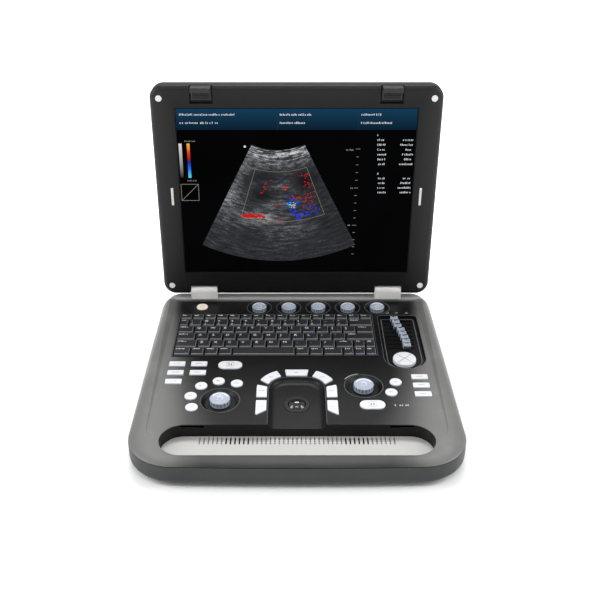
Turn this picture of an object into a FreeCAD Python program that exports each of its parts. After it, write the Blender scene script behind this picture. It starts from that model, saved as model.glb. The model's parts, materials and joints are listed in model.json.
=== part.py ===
"""Portable ultrasound scanner in a laptop-style case, as an assembly of separate pieces.

Millimetres. +Z is up, +X is the operator's right, -Y is the operator's side. The origin is
on the table under the middle of the bounding box. The lid stands upright, square to the table.

The base has a flat control panel that slopes up towards the hinge. Everything on the panel is
drawn in panel coordinates (x, v, w): x as in the frame, v up the slope, w along the panel's
outward normal. to_panel() carries a shape from there into the frame.
"""
import FreeCAD, Part
import math
import os

os.makedirs("parts", exist_ok=True)

V = FreeCAD.Vector
X_AXIS = V(1, 0, 0)
Y_AXIS = V(0, 1, 0)
Z_AXIS = V(0, 0, 1)

# ---------------------------------------------------------------- driving dimensions
BASE_W = 378.0            # width of the base
BASE_FRONT = -183.0       # y of the front edge, at the middle of its bow
BASE_BACK = 175.0         # y of the rear wall
BOW_R = 4200.0            # radius of the slightly bowed front edge
CORNER_FRONT = 55.0       # plan radius of the front corners
CORNER_BACK = 22.0        # plan radius of the rear corners
FOOT_H = 5.0              # height of the rubber feet
SPLIT_LOW = 29.3          # top edge of the bottom shell
SPLIT_HIGH = 30.2         # bottom edge of the top shell
WALL = 2.5                # wall of the two base shells
RUN_FIT = 0.05            # radial clearance of a shaft in its bore
GAP = 0.3                 # usual clearance between neighbouring pieces

PANEL_SLOPE = 2.3         # degrees, rising towards the hinge
PANEL_Z0 = 41.0           # height of the panel at y = 0
CREST_SLOPE = 3.08        # degrees, the slope of the rim around the panel
CREST_Z0 = 43.13          # height of that rim at y = 0

RECESS_HALF = 153.0       # grip recess along the front: half length
RECESS_FRONT = -166.0     # its front wall
RECESS_BACK = -114.5      # its back wall
TRAY_TOP = 20.4           # height of the metal tray that floors it
TRAY_T = 1.5              # thickness of that tray
TRAY_SLOTS = 45           # fine slots along the tray
TRAY_SLOT_PITCH = 5.0
SPEAKER_X = 67.5          # the slots over each loudspeaker are cut through
SPEAKER_SLOTS = 6

HINGE_Y = 165.0           # lid hinge axis, along X
HINGE_Z = 63.0
HINGE_X = 128.0           # middle of each hinge block
HINGE_W = 36.6            # width of each hinge block
BARREL_R = 9.0
SHAFT_R = 3.0

LID_W = 368.0
LID_BOTTOM = 59.0
LID_TOP = 351.0
LID_FRONT = 156.5         # y of the bezel's face
LID_SPLIT = 168.0         # parting plane between bezel and back cover
LID_BACK = 183.0
LID_CORNER = 17.0
LID_WALL = 2.4
SCREEN_W = 304.1          # 15-inch display, 4:3
SCREEN_H = 228.1
SCREEN_Z = 207.6          # height of the display's middle
SCREEN_Y = 158.6          # y of the display's surface

LATCH_X = 119.0
LATCH_W = 25.0

KEYBOARD = (-158.5, 21.0, 104.0, 122.3)      # x low, v low, x high, v high
KEY_UNIT = 17.9
F_ROW_DEPTH = 12.5
KEY_ROWS = [              # key widths in units, from the back row to the front row
    [14.5 / 16] * 16,
    [0.7] + [1.0] * 12 + [1.8],
    [1.2] + [1.0] * 12 + [1.3],
    [1.4] + [1.0] * 11 + [2.1],
    [1.6] + [1.0] * 10 + [1.3, 0.85, 0.75],
    [1.2] + [1.0] * 3 + [4.5] + [1.0] * 2 + [1.4] + [0.8] * 3,
]
KEY_TOP = 2.0             # w of the key tops
KEY_BOTTOM = -1.2

MENU_KNOBS = [(-51.0 + 40.8 * i, 140.5) for i in range(5)]
MENU_KNOB_R = 9.9
GAIN_KNOB = (-90.4, -70.1)
SELECT_KNOB = (80.4, -42.0)
LARGE_KNOB_R = 12.1
KNOB_STEM_R = 3.0

POWER_BUTTON = (-130.3, 142.0, 7.6)
LEFT_ROUNDS = [(-114.9, -42.1), (-94.5, -32.5), (-72.3, -37.2), (-125.6, -62.1), (-122.4, -83.6)]
RIGHT_ROUNDS = [(119.7, -34.4), (112.5, -54.9)]
ROUND_R = 7.3
LEFT_PILL = (-82.7, 1.5)
RIGHT_PILL = (88.2, -78.9)
PILL_W = 29.8
PILL_D = 16.1
LEFT_PADS = [(-149.1, 4.1), (-121.7, 4.1), (-149.1, -14.6), (-121.7, -14.6), (-149.6, -33.0)]
RIGHT_PADS = [(150.0, -23.5), (150.0, -40.8), (150.0, -58.1)]
PAD_W = 20.0
PAD_D = 9.6

BUTTON_TOP = 1.5          # how far a button stands above the panel

DISH_CORNER_X = 10.0      # the palm dish's arched corners turn about (+-x, v)
DISH_CORNER_V = -47.0
DISH_R = 23.5
DISH_DEPTH = 6.0
ARC_KEY_INNER = 25.5
ARC_KEY_OUTER = 38.0
# Side lines of the keys round the dish, left half; the right half mirrors them.
ARC_KEY_SIDES = [
    [(-52, -70.8), (-32, -70.8), (-32, -86.3), (-52, -101)],
    [(-52, -38.4), (-32, -45.4), (-32, -64.4), (-52, -64.4)],
    [(-25.8, -8), (-17.2, -26.6), (-31.9, -40.6), (-46.3, -28)],
]
ARC_KEY_MIDDLE = [(-15.3, -5), (15.3, -5), (12, -25), (-12, -25)]

BALL_V = -70.0            # trackball, on the centre line
BALL_R = 12.5
BALL_W = -13.0
BALL_OPENING = 10.6

TGC = (110.5, -5.0, 164.0, 120.5)            # slider recess: x low, v low, x high, v high
TGC_DEPTH = 4.5
TGC_SLOT = (118.0, 154.6)                    # x range of each slider slot
SLIDER_X = [132.9, 134.4, 135.7, 138.9, 140.3, 141.7, 142.9, 142.9]
SLIDER_V0 = 112.2
SLIDER_PITCH = 9.35
NAV_PAD = (136.0, 14.2)
NAV_PAD_R = 14.6

BOARD_W = -10.0           # top face of the control board, below the panel
BOARD_T = 1.6
SWITCH_H = 3.2

FEET = [(x, y) for x in (-158.0, 158.0) for y in (-142.0, 148.0)]
SCREWS = [(x, y) for x in (-176.0, 176.0) for y in (-58.0, 60.0)] + [
    (-168.0, -112.0), (168.0, -112.0), (-98.0, 166.0), (43.4, 166.0)]
CART_HOLES = 100.0        # square pattern of threaded inserts for a cart, in the underside
CART_HOLE_R = 2.1

FAN = (-155.0, 92.0)      # centre of the blower in plan
FAN_R = 22.0
SOCKETS_X = (-62.0, 6.0)  # middles of the two probe sockets in the rear wall
SOCKET_W = 52.0
SOCKET_H = 20.0
SOCKET_Z = 22.0
PORTS = [                 # rear ports: x, z, width, height
    (60.0, 19.5, 13.4, 6.2),
    (78.0, 19.5, 13.4, 6.2),
]
PORT_DEPTH = 12.0
DC_INLET = (99.0, 19.5)
DC_R = 3.2


# ---------------------------------------------------------------- helpers
def box(x0, y0, z0, x1, y1, z1):
    return Part.makeBox(x1 - x0, y1 - y0, z1 - z0, V(x0, y0, z0))


def rod(x, y, z0, z1, radius):
    return Part.makeCylinder(radius, z1 - z0, V(x, y, z0), Z_AXIS)


def rod_x(x0, x1, y, z, radius):
    return Part.makeCylinder(radius, x1 - x0, V(x0, y, z), X_AXIS)


def rod_y(y0, y1, x, z, radius):
    return Part.makeCylinder(radius, y1 - y0, V(x, y0, z), Y_AXIS)


def polygon(points):
    corners = [V(x, v, 0) for x, v in points]
    return Part.Face(Part.makePolygon(corners + [corners[0]]))


def rounded(face, radius):
    """Round a plane face's corners: shrink it, then grow it back with arcs."""
    return face.makeOffset2D(-radius).makeOffset2D(radius)


def rectangle(x, v, width, depth, radius):
    half_w, half_d = width / 2, depth / 2
    sharp = polygon([(x - half_w, v - half_d), (x + half_w, v - half_d),
                     (x + half_w, v + half_d), (x - half_w, v + half_d)])
    return rounded(sharp, radius)


def disc(x, v, radius):
    return Part.Face(Part.Wire(Part.makeCircle(radius, V(x, v, 0))))


def prism(face, w0, w1):
    """The face, which lies at w = 0, extruded from w0 to w1."""
    lifted = face.copy()
    lifted.translate(V(0, 0, w0))
    return lifted.extrude(V(0, 0, w1 - w0))


def edges_at(shape, height, tolerance=0.01):
    """Edges that lie wholly at one height."""
    return [edge for edge in shape.Edges
            if abs(edge.BoundBox.ZMin - height) < tolerance
            and abs(edge.BoundBox.ZMax - height) < tolerance]


def fuse(shapes):
    first, rest = shapes[0], shapes[1:]
    return first.fuse(rest).removeSplitter() if rest else first


def cut(shape, tools):
    return shape.cut(Part.makeCompound(tools))


def to_panel(shape):
    placed = shape.copy()
    placed.rotate(V(0, 0, 0), X_AXIS, PANEL_SLOPE)
    placed.translate(V(0, 0, PANEL_Z0))
    return placed


def sloped(z0, slope):
    """A plane's height as a function of y."""
    return lambda y: z0 + y * math.tan(math.radians(slope))


PANEL = sloped(PANEL_Z0, PANEL_SLOPE)
CREST = sloped(CREST_Z0, CREST_SLOPE)


def export(name, shapes):
    """Write one node: one solid, or a group of separate solids."""
    solids = []
    for shape in shapes:
        solids.extend(shape.Solids)
    node = solids[0] if len(solids) == 1 else Part.makeCompound(solids)
    assert node.isValid(), name
    node.exportStep("parts/" + name + ".step")
    bounds = node.BoundBox
    print(f"{name:20s} {len(solids):3d} solids {node.Volume / 1000:8.2f} cm3"
          f"  z {bounds.ZMin:7.2f} {bounds.ZMax:7.2f}")


# ---------------------------------------------------------------- the base's outline
def arc_edge(centre, radius, start, end, height):
    """A corner arc in plan, lifted onto a plane; angles in degrees."""
    points = []
    for angle in (start, (start + end) / 2, end):
        x = centre[0] + radius * math.cos(math.radians(angle))
        y = centre[1] + radius * math.sin(math.radians(angle))
        points.append(V(x, y, height(y)))
    return Part.Arc(*points).toShape()


def base_outline(side, front, back, height):
    """The base's plan outline, inset by side, front and back, on the plane height(y)."""
    half = BASE_W / 2 - side
    y_front = BASE_FRONT + front
    y_back = BASE_BACK - back
    r_front = max(CORNER_FRONT - (side + front) / 2, 6.0)
    r_back = max(CORNER_BACK - (side + back) / 2, 4.0)
    x_front = half - r_front
    x_back = half - r_back
    y_bow = y_front + BOW_R
    y_front_centre = y_bow - math.sqrt((BOW_R - r_front) ** 2 - x_front ** 2)
    bow_angle = math.degrees(math.atan2(y_front_centre - y_bow, x_front))
    corners = [
        arc_edge((x_front, y_front_centre), r_front, bow_angle, 0, height),
        arc_edge((x_back, y_back - r_back), r_back, 0, 90, height),
        arc_edge((-x_back, y_back - r_back), r_back, 90, 180, height),
        arc_edge((-x_front, y_front_centre), r_front, 180, 360 - 180 - bow_angle, height),
    ]
    ends = [(edge.valueAt(edge.FirstParameter), edge.valueAt(edge.LastParameter))
            for edge in corners]
    edges = [Part.Arc(ends[3][1], V(0, y_front, height(y_front)), ends[0][0]).toShape()]
    for index, corner in enumerate(corners):
        edges.append(corner)
        if index < 3:
            edges.append(Part.makeLine(ends[index][1], ends[index + 1][0]))
    return Part.Wire(Part.__sortEdges__(edges))


def level(z):
    return lambda y: z


def between(low, high, fraction):
    """A plane part of the way from one plane to another."""
    return lambda y: low(y) + fraction * (high(y) - low(y))


def base_prism(inset, z0, z1):
    return Part.Face(base_outline(inset, inset, inset, level(z0))).extrude(V(0, 0, z1 - z0))


RIM_STEPS = [0.0, 0.5, 0.866, 1.0]           # height fractions up the crowned rim
RIM_SIDE = [0.0, 2.4, 8.5, 18.0]
RIM_FRONT = [0.0, 4.0, 10.0, 17.0]
RIM_BACK = [0.0, 0.4, 1.2, 2.8]


def rim_loft(inset, low, high):
    """The solid inside the crowned rim, from plane low up to plane high."""
    wires = []
    for step, side, front, back in zip(RIM_STEPS, RIM_SIDE, RIM_FRONT, RIM_BACK):
        height = between(low, high, step)
        wires.append(base_outline(side + inset, front + inset, back + inset, height))
    return Part.makeLoft(wires, True, False)


# ---------------------------------------------------------------- panel features
def recess_face(grow):
    """The grip recess in plan."""
    radius = (RECESS_BACK - RECESS_FRONT) / 2
    middle = (RECESS_BACK + RECESS_FRONT) / 2
    length = 2 * RECESS_HALF + 2 * grow
    return rectangle(0, middle, length, 2 * (radius + grow), radius + grow - 0.05)


def arch_face(corner_radius, bottom):
    """An arch-topped face: straight sides, round shoulders, flat top."""
    half = DISH_CORNER_X + corner_radius
    top = DISH_CORNER_V + corner_radius
    shoulder = corner_radius * math.cos(math.radians(45))
    left = Part.Arc(V(-half, DISH_CORNER_V, 0),
                    V(-DISH_CORNER_X - shoulder, DISH_CORNER_V + shoulder, 0),
                    V(-DISH_CORNER_X, top, 0)).toShape()
    right = Part.Arc(V(DISH_CORNER_X, top, 0),
                     V(DISH_CORNER_X + shoulder, DISH_CORNER_V + shoulder, 0),
                     V(half, DISH_CORNER_V, 0)).toShape()
    edges = [
        Part.makeLine(V(-half, bottom, 0), V(-half, DISH_CORNER_V, 0)),
        left,
        Part.makeLine(V(-DISH_CORNER_X, top, 0), V(DISH_CORNER_X, top, 0)),
        right,
        Part.makeLine(V(half, DISH_CORNER_V, 0), V(half, bottom, 0)),
        Part.makeLine(V(half, bottom, 0), V(-half, bottom, 0)),
    ]
    return Part.Face(Part.Wire(edges))


def dish_tool():
    """The palm dish's hollow: concave walls that flatten out into its floor."""
    wires = []
    for inset, depth in ((-0.4, -1.0), (0.0, 0.0), (1.6, 3.2), (4.6, 5.3), (9.0, DISH_DEPTH)):
        wire = arch_face(DISH_R - inset, -124.0 + inset * 0.01).OuterWire
        wire.translate(V(0, 0, -depth))
        wires.append(wire)
    return Part.makeLoft(wires, True, False)


def tgc_face(inset):
    """The slider recess in plan: large round corners at the front, small ones at the back."""
    x0, v0, x1, v1 = TGC
    x0, v0, x1, v1 = x0 + inset, v0 + inset, x1 - inset, v1 - inset
    back = rounded(polygon([(x0, v0 + 40), (x1, v0 + 40), (x1, v1), (x0, v1)]),
                   max(6.0 - inset, 1.5))
    front = rounded(polygon([(x0, v0), (x1, v0), (x1, v0 + 90), (x0, v0 + 90)]),
                    24.0 - inset)
    return back.fuse(front).removeSplitter().Faces[0]


def slider_v(index):
    return SLIDER_V0 - SLIDER_PITCH * index


def knob_dish(x, v, outer, inner, depth):
    """The hollow of a round dish and the shaft hole in its floor."""
    hollow = Part.makeCone(inner, outer + (outer - inner) / depth, depth + 1, V(x, v, -depth))
    return hollow.fuse(rod(x, v, -12, 0, KNOB_STEM_R + 0.8))


LARGE_DISH = (22.3, 18.0, 3.5)
MENU_DISH = (16.3, 12.8, 3.0)
BEAD_R = 0.8              # raised ring round each dish


def arc_key_faces():
    band = arch_face(ARC_KEY_OUTER, -110).cut(arch_face(ARC_KEY_INNER, -111))
    left = [polygon(points) for points in ARC_KEY_SIDES]
    right = [polygon([(-x, v) for x, v in points]) for points in reversed(ARC_KEY_SIDES)]
    wedges = left + [polygon(ARC_KEY_MIDDLE)] + right
    return [rounded(band.common(wedge).Faces[0], 1.2) for wedge in wedges]


def button_faces():
    """Every sprung button: node name to the plan faces of its caps."""
    faces = {"power_button": [disc(*POWER_BUTTON)]}
    faces["freeze_button"] = [rectangle(*RIGHT_PILL, PILL_W, PILL_D, PILL_D / 2 - 0.05)]
    faces["exam_button"] = [rectangle(*LEFT_PILL, PILL_W, PILL_D, PILL_D / 2 - 0.05)]
    for index, centre in enumerate(LEFT_ROUNDS):
        faces[f"left_button_{index + 1}"] = [disc(*centre, ROUND_R)]
    for index, centre in enumerate(RIGHT_ROUNDS):
        faces[f"right_button_{index + 1}"] = [disc(*centre, ROUND_R)]
    for index, face in enumerate(arc_key_faces()):
        faces[f"arc_key_{index + 1}"] = [face]
    faces["left_keypad"] = [rectangle(x, v, PAD_W, PAD_D, 1.0) for x, v in LEFT_PADS]
    faces["right_keypad"] = [rectangle(x, v, PAD_W, PAD_D, 1.0) for x, v in RIGHT_PADS]
    return faces


# ---------------------------------------------------------------- base shells
def panel_pocket():
    """What is taken off the crowned body to leave the flat panel inside its rim."""
    lower = base_outline(20.0, 36.0, 17.0, PANEL)
    upper = base_outline(4.0, 36.0, 15.5, lambda y: PANEL(y) + 8.0)
    return Part.makeLoft([lower, upper], True, True)


def latch_catches():
    """Slots in the recess's back wall that take the two latch teeth."""
    half = LATCH_W / 2 + 1
    return [box(x - half, RECESS_BACK - 1, 31.4, x + half, RECESS_BACK + 4.6, 35.0)
            for x in (-LATCH_X, LATCH_X)]


def panel_backing():
    """Material under the plate for every hollow that is sunk into it, in the frame."""
    parts = [prism(arch_face(DISH_R + 0.9, -113.0), -DISH_DEPTH - WALL, -1)]
    parts.append(prism(tgc_face(-WALL), -TGC_DEPTH - 2.0, -1))
    for x, v in (GAIN_KNOB, SELECT_KNOB):
        parts.append(rod(x, v, -LARGE_DISH[2] - 2.2, -1, LARGE_DISH[0] + 2))
        parts.append(Part.makeTorus(LARGE_DISH[0] + 0.9, BEAD_R, V(x, v, -0.15)))
    for x, v in MENU_KNOBS:
        parts.append(rod(x, v, -MENU_DISH[2] - 2.2, -1, MENU_DISH[0] + 2))
        parts.append(Part.makeTorus(MENU_DISH[0] + 0.7, BEAD_R, V(x, v, -0.15)))
    return [to_panel(part) for part in parts]


def panel_cuts():
    """Everything that is cut into the panel, in the frame."""
    tools = [dish_tool(), prism(tgc_face(0), -TGC_DEPTH, 1)]
    x0, v0, x1, v1 = KEYBOARD
    tools.append(box(x0 - GAP, v0 - GAP, -8, x1 + GAP, v1 + GAP, 4))
    for x, v in (GAIN_KNOB, SELECT_KNOB):
        tools.append(knob_dish(x, v, *LARGE_DISH))
    for x, v in MENU_KNOBS:
        tools.append(knob_dish(x, v, *MENU_DISH))
    tools.append(rod(0, BALL_V, -14, 0, BALL_OPENING + 5.2))
    for index in range(len(SLIDER_X)):
        v = slider_v(index)
        tools.append(box(TGC_SLOT[0], v - 0.9, -12, TGC_SLOT[1], v + 0.9, 1))
    tools.append(rod(*NAV_PAD, -12, 0, 5.0))
    for faces in button_faces().values():
        for face in faces:
            tools.append(prism(face.makeOffset2D(GAP), -6, 6))
    return [to_panel(tool) for tool in tools]


def tgc_bead():
    """The raised frame on the floor of the slider recess."""
    ring = tgc_face(4.0).cut(tgc_face(5.8))
    return to_panel(prism(ring.Faces[0], -TGC_DEPTH - 0.3, -TGC_DEPTH + 0.8))


def hinge_seat(sign):
    """The seat and the foot hole for one hinge block in the rear rim."""
    x = sign * HINGE_X
    seat = box(x - HINGE_W / 2 - GAP, 155.7, 51.6, x + HINGE_W / 2 + GAP, 177, 60)
    return seat.fuse(box(x - 14.3, 159.7, 30, x + 14.3, 168.3, 53))


def top_case():
    low = level(SPLIT_HIGH)
    body = rim_loft(0, low, CREST)
    cavity_low = level(SPLIT_HIGH - 0.8)
    cavity = rim_loft(WALL, cavity_low, lambda y: PANEL(y) - WALL)
    shell = body.cut(panel_pocket()).cut(cavity)
    wall = prism(recess_face(2.0), TRAY_TOP - TRAY_T - 2.2, 34.0)
    wall = wall.common(base_prism(WALL, 0, 60))
    bosses = [rod(x, y, 17.0, PANEL(y) - 1.0, 4.0) for x, y in SCREWS]
    shell = fuse([shell, wall] + bosses + panel_backing())
    recess = prism(recess_face(0), TRAY_TOP - TRAY_T, 70)
    ledge = prism(recess_face(-3.0), 10, 70)
    pilots = [rod(x, y, 10, 29.0, 1.45) for x, y in SCREWS]
    tools = [recess, ledge] + pilots + latch_catches() + panel_cuts()
    tools += [hinge_seat(-1), hinge_seat(1)] + rear_windows()
    rabbet = base_prism(WALL, SPLIT_HIGH - 2, SPLIT_HIGH + 0.6)
    tools.append(rabbet.cut(base_prism(WALL + 1.9, SPLIT_HIGH - 3, SPLIT_HIGH + 2)))
    shell = cut(shell, tools)
    return fuse([shell, tgc_bead()])


def tray_plate():
    plate = prism(recess_face(-GAP), TRAY_TOP - TRAY_T + 0.1, TRAY_TOP)
    plate = plate.makeFillet(0.5, edges_at(plate, TRAY_TOP))
    slots = []
    first = -TRAY_SLOT_PITCH * (TRAY_SLOTS - 1) / 2
    reach = TRAY_SLOT_PITCH * SPEAKER_SLOTS / 2
    for index in range(TRAY_SLOTS):
        x = first + TRAY_SLOT_PITCH * index
        open_slot = abs(abs(x) - SPEAKER_X) < reach
        bottom = TRAY_TOP - (TRAY_T + 1 if open_slot else 1.0)
        slots.append(box(x - 0.9, RECESS_BACK - 15.0, bottom, x + 0.9, RECESS_BACK - 2.2, 30))
    return cut(plate, slots)


def bottom_case():
    outer = base_prism(0, FOOT_H, SPLIT_LOW)
    outer = outer.makeFillet(9.0, edges_at(outer, FOOT_H))
    inner = base_prism(WALL, FOOT_H + WALL, SPLIT_LOW + 1)
    inner = inner.makeFillet(6.5, edges_at(inner, FOOT_H + WALL))
    tongue = base_prism(WALL + 0.3, SPLIT_LOW - 2, SPLIT_HIGH + 0.3)
    root = base_prism(WALL - 1.0, SPLIT_LOW - 4, SPLIT_LOW - 1)
    tongue = tongue.fuse(root).cut(base_prism(WALL + 1.6, SPLIT_LOW - 5, SPLIT_HIGH + 2))
    posts = [rod(x, y, FOOT_H + 1, 16.7, 4.0) for x, y in SCREWS]
    half = CART_HOLES / 2
    cart = [(x, y) for x in (-half, half) for y in (-half, half)]
    bosses = [rod(x, y, FOOT_H + 1, 13.0, 5.0) for x, y in cart]
    body = fuse([outer.cut(inner), tongue] + posts + bosses)
    tools = [rod(x, y, 0, 12.0, CART_HOLE_R) for x, y in cart]
    tools += [rod(x, y, 0, 20, 1.7) for x, y in SCREWS]
    tools += [rod(x, y, 0, 8.2, 3.4) for x, y in SCREWS]
    tools += [rod(x, y, 0, FOOT_H + 1.0, 8.2) for x, y in FEET]
    tools += side_vents() + bottom_vents() + rear_windows()
    return cut(body, tools)


def side_vents():
    """Exhaust slots beside the blower."""
    slots = []
    for index in range(12):
        y = FAN[1] - 22 + 4.0 * index
        slots.append(box(-190, y - 1.1, 12, -184, y + 1.1, 25))
    return slots


def bottom_vents():
    """Intake slots under the blower."""
    slots = []
    for index in range(9):
        x = FAN[0] - 20 + 5.0 * index
        reach = math.sqrt(FAN_R ** 2 - (x - FAN[0]) ** 2) - 1
        slots.append(box(x - 1.1, FAN[1] - reach, 0, x + 1.1, FAN[1] + reach, 9))
    return slots


def rear_windows():
    """Openings in the rear wall for the sockets and ports."""
    tools = []
    for x in SOCKETS_X:
        tools.append(box(x - SOCKET_W / 2 - 2.2, 165, SOCKET_Z - SOCKET_H / 2 - 2.2,
                         x + SOCKET_W / 2 + 2.2, 180, SPLIT_HIGH + 4))
    for x, z, width, height in PORTS:
        tools.append(box(x - width / 2 - 1.3, 165, z - height / 2 - 1.3,
                         x + width / 2 + 1.3, 180, z + height / 2 + 1.3))
    tools.append(rod_y(165, 180, *DC_INLET, DC_R + 2.3))
    return tools


# ---------------------------------------------------------------- hinge
def hinge_knuckles():
    """The fixed halves of the two hinges: barrel, block and foot."""
    blocks = []
    for sign in (-1, 1):
        x = sign * HINGE_X
        x0, x1 = x - HINGE_W / 2, x + HINGE_W / 2
        barrel = rod_x(x0, x1, HINGE_Y, HINGE_Z, BARREL_R)
        block = box(x0, HINGE_Y - BARREL_R, 51.8, x1, HINGE_Y + BARREL_R, HINGE_Z)
        foot = box(x - 14, 160, 10.0, x + 14, 168, 52.5)
        flange = box(x - 14, 150, 8.0, x + 14, 166, 11.0)
        solid = fuse([barrel, block, foot, flange])
        blocks.append(cut(solid, [rod_x(x0 - 1, x1 + 1, HINGE_Y, HINGE_Z, SHAFT_R + RUN_FIT)]))
    return blocks


def hinge_arms():
    """The lid's halves: a shaft through each barrel, with a leaf at each end of it."""
    arms = []
    for sign in (-1, 1):
        x = sign * HINGE_X
        reach = HINGE_W / 2 + 1.0
        shaft = rod_x(x - reach - 6, x + reach + 6, HINGE_Y, HINGE_Z, SHAFT_R)
        pieces = [shaft]
        for side in (-1, 1):
            x0 = x + side * reach
            x1 = x0 + side * 5
            low, high = min(x0, x1), max(x0, x1)
            pieces.append(box(low, HINGE_Y - 3, HINGE_Z - 1.5, high, HINGE_Y + 3, 86))
        pieces.append(box(x - reach - 5, HINGE_Y - 1.0, 76, x + reach + 5, HINGE_Y + 1.0, 86))
        arms.append(fuse(pieces))
    return arms


# ---------------------------------------------------------------- lid
def lid_face(inset, width=LID_W, bottom=LID_BOTTOM, top=LID_TOP, corner=LID_CORNER):
    """The lid's outline, drawn flat; stand() turns it upright."""
    middle = (bottom + top) / 2
    height = top - bottom
    return rectangle(0, middle, width - 2 * inset, height - 2 * inset, corner - inset)


def stand(shape):
    """Turn a flat shape upright: v becomes height, w becomes distance towards -Y."""
    placed = shape.copy()
    placed.rotate(V(0, 0, 0), X_AXIS, 90)
    return placed


def lid_prism(inset, y0, y1):
    return stand(prism(lid_face(inset), -y1, -y0))


def edges_in_plane_y(shape, y):
    return [edge for edge in shape.Edges
            if abs(edge.BoundBox.YMin - y) < 0.01 and abs(edge.BoundBox.YMax - y) < 0.01]


def screen_window(grow):
    half_w, half_h = SCREEN_W / 2 + grow, SCREEN_H / 2 + grow
    return (-half_w, SCREEN_Z - half_h, half_w, SCREEN_Z + half_h)


def hinge_clearance(sign):
    """What the lid gives up so that it can turn round one hinge block."""
    x = sign * HINGE_X
    reach = HINGE_W / 2 + 0.8
    turn = rod_x(x - reach, x + reach, HINGE_Y, HINGE_Z, BARREL_R + 0.7)
    below = box(x - reach, 150, 50, x + reach, 190, HINGE_Z)
    front = box(x - reach, 150, 50, x + reach, HINGE_Y, HINGE_Z + BARREL_R + 0.7)
    return turn.fuse([below, front])


def arm_clearance(sign):
    """Room inside the lid for the hinge arm's leaves and shaft ends."""
    x = sign * HINGE_X
    reach = HINGE_W / 2 + 7.6
    return box(x - reach, HINGE_Y - 3.4, HINGE_Z - 3.4, x + reach, HINGE_Y + 3.4, 87.0)


def latch_pocket(x):
    half = LATCH_W / 2 + 2.0
    front = box(x - half, 150, 328.4, x + half, 161.2, 360)
    channel = box(x - 6.4, 150, 334.0, x + 6.4, 164.2, 348.2)
    return front.fuse(channel)


def display_bezel():
    outer = lid_prism(0, LID_FRONT, LID_SPLIT)
    outer = outer.makeFillet(6.5, edges_in_plane_y(outer, LID_FRONT))
    hollow = lid_prism(LID_WALL, LID_FRONT + 6.0, LID_SPLIT + 1)
    hollow = hollow.makeFillet(3.0, edges_in_plane_y(hollow, LID_FRONT + 6.0))
    shell = outer.cut(hollow)
    pockets = [box(x - 17, LID_FRONT + 3, 325.0, x + 17, LID_SPLIT - 0.6, 350.0)
               for x in (-LATCH_X, LATCH_X)]
    shell = fuse([shell] + pockets)
    x0, z0, x1, z1 = screen_window(0.3)
    lower = Part.makePolygon([V(x0, LID_FRONT + 1.9, z0), V(x1, LID_FRONT + 1.9, z0),
                              V(x1, LID_FRONT + 1.9, z1), V(x0, LID_FRONT + 1.9, z1),
                              V(x0, LID_FRONT + 1.9, z0)])
    x2, z2, x3, z3 = screen_window(1.5)
    upper = Part.makePolygon([V(x2, LID_FRONT - 0.1, z2), V(x3, LID_FRONT - 0.1, z2),
                              V(x3, LID_FRONT - 0.1, z3), V(x2, LID_FRONT - 0.1, z3),
                              V(x2, LID_FRONT - 0.1, z2)])
    slope = Part.makeLoft([lower, upper], True, True)
    window = box(x0, 150, z0, x1, 180, z1)
    module_room = box(x0 - 7.4, SCREEN_Y + 0.2, z0 - 7.4, x1 + 7.4, 180, z1 + 5.4)
    tools = [slope, window, module_room, hinge_clearance(-1), hinge_clearance(1)]
    tools += [arm_clearance(-1), arm_clearance(1)]
    tools += [latch_pocket(-LATCH_X), latch_pocket(LATCH_X)]
    tools += [rod_y(LID_FRONT - 1, LID_FRONT + 1.0, x, z, 4.1) for x, z in DISC_PLACES]
    tools += [bar_pocket(x) for x in BAR_X]
    return cut(shell, tools)


DISC_PLACES = [(x, z) for x in (-172.0, 172.0) for z in (73.5, 335.0)]
BAR_X = (-163.0, 163.0)
BAR_Z = (192.8, 216.8)


def bar_pocket(x):
    return box(x - 1.6, LID_FRONT - 1, BAR_Z[0] - 0.1, x + 1.6, LID_FRONT + 1.0, BAR_Z[1] + 0.1)


def bezel_bumpers():
    """Four round pads and two slim strips let into the bezel."""
    pads = []
    for x, z in DISC_PLACES:
        pad = rod_y(LID_FRONT - 0.6, LID_FRONT + 0.9, x, z, 4.0)
        pads.append(pad.makeFillet(0.4, edges_in_plane_y(pad, LID_FRONT - 0.6)))
    for x in BAR_X:
        strip = box(x - 1.5, LID_FRONT - 0.6, BAR_Z[0], x + 1.5, LID_FRONT + 0.9, BAR_Z[1])
        pads.append(strip.makeFillet(0.4, edges_in_plane_y(strip, LID_FRONT - 0.6)))
    return pads


def display_back_cover():
    y0 = LID_SPLIT + GAP
    outer = lid_prism(0, y0, LID_BACK)
    outer = outer.makeFillet(9.0, edges_in_plane_y(outer, LID_BACK))
    hollow = lid_prism(LID_WALL, y0 - 1, LID_BACK - LID_WALL)
    hollow = hollow.makeFillet(6.5, edges_in_plane_y(hollow, LID_BACK - LID_WALL))
    panel = lid_face(0, 250.0, 118.0, 300.0, 12.0)
    step = stand(prism(panel, -LID_BACK - 1, -LID_BACK + 0.8))
    tools = [hollow, step, hinge_clearance(-1), hinge_clearance(1)]
    tools += [arm_clearance(-1), arm_clearance(1)]
    return cut(outer, tools)


def lcd_module():
    """The display panel: glass, metal frame and driver board behind it."""
    x0, z0, x1, z1 = screen_window(0.0)
    glass = box(x0, SCREEN_Y, z0, x1, SCREEN_Y + 1.5, z1)
    frame = box(x0 - 6, SCREEN_Y + 1.2, z0 - 6, x1 + 6, SCREEN_Y + 9.0, z1 + 4)
    board = box(-110, SCREEN_Y + 8.8, 100, 110, SCREEN_Y + 11.5, 150)
    chips = [box(x - 9, SCREEN_Y + 11.3, 116, x + 9, SCREEN_Y + 13.5, 134)
             for x in (-80, -30, 20, 70)]
    return fuse([glass, frame, board] + chips)


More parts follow.
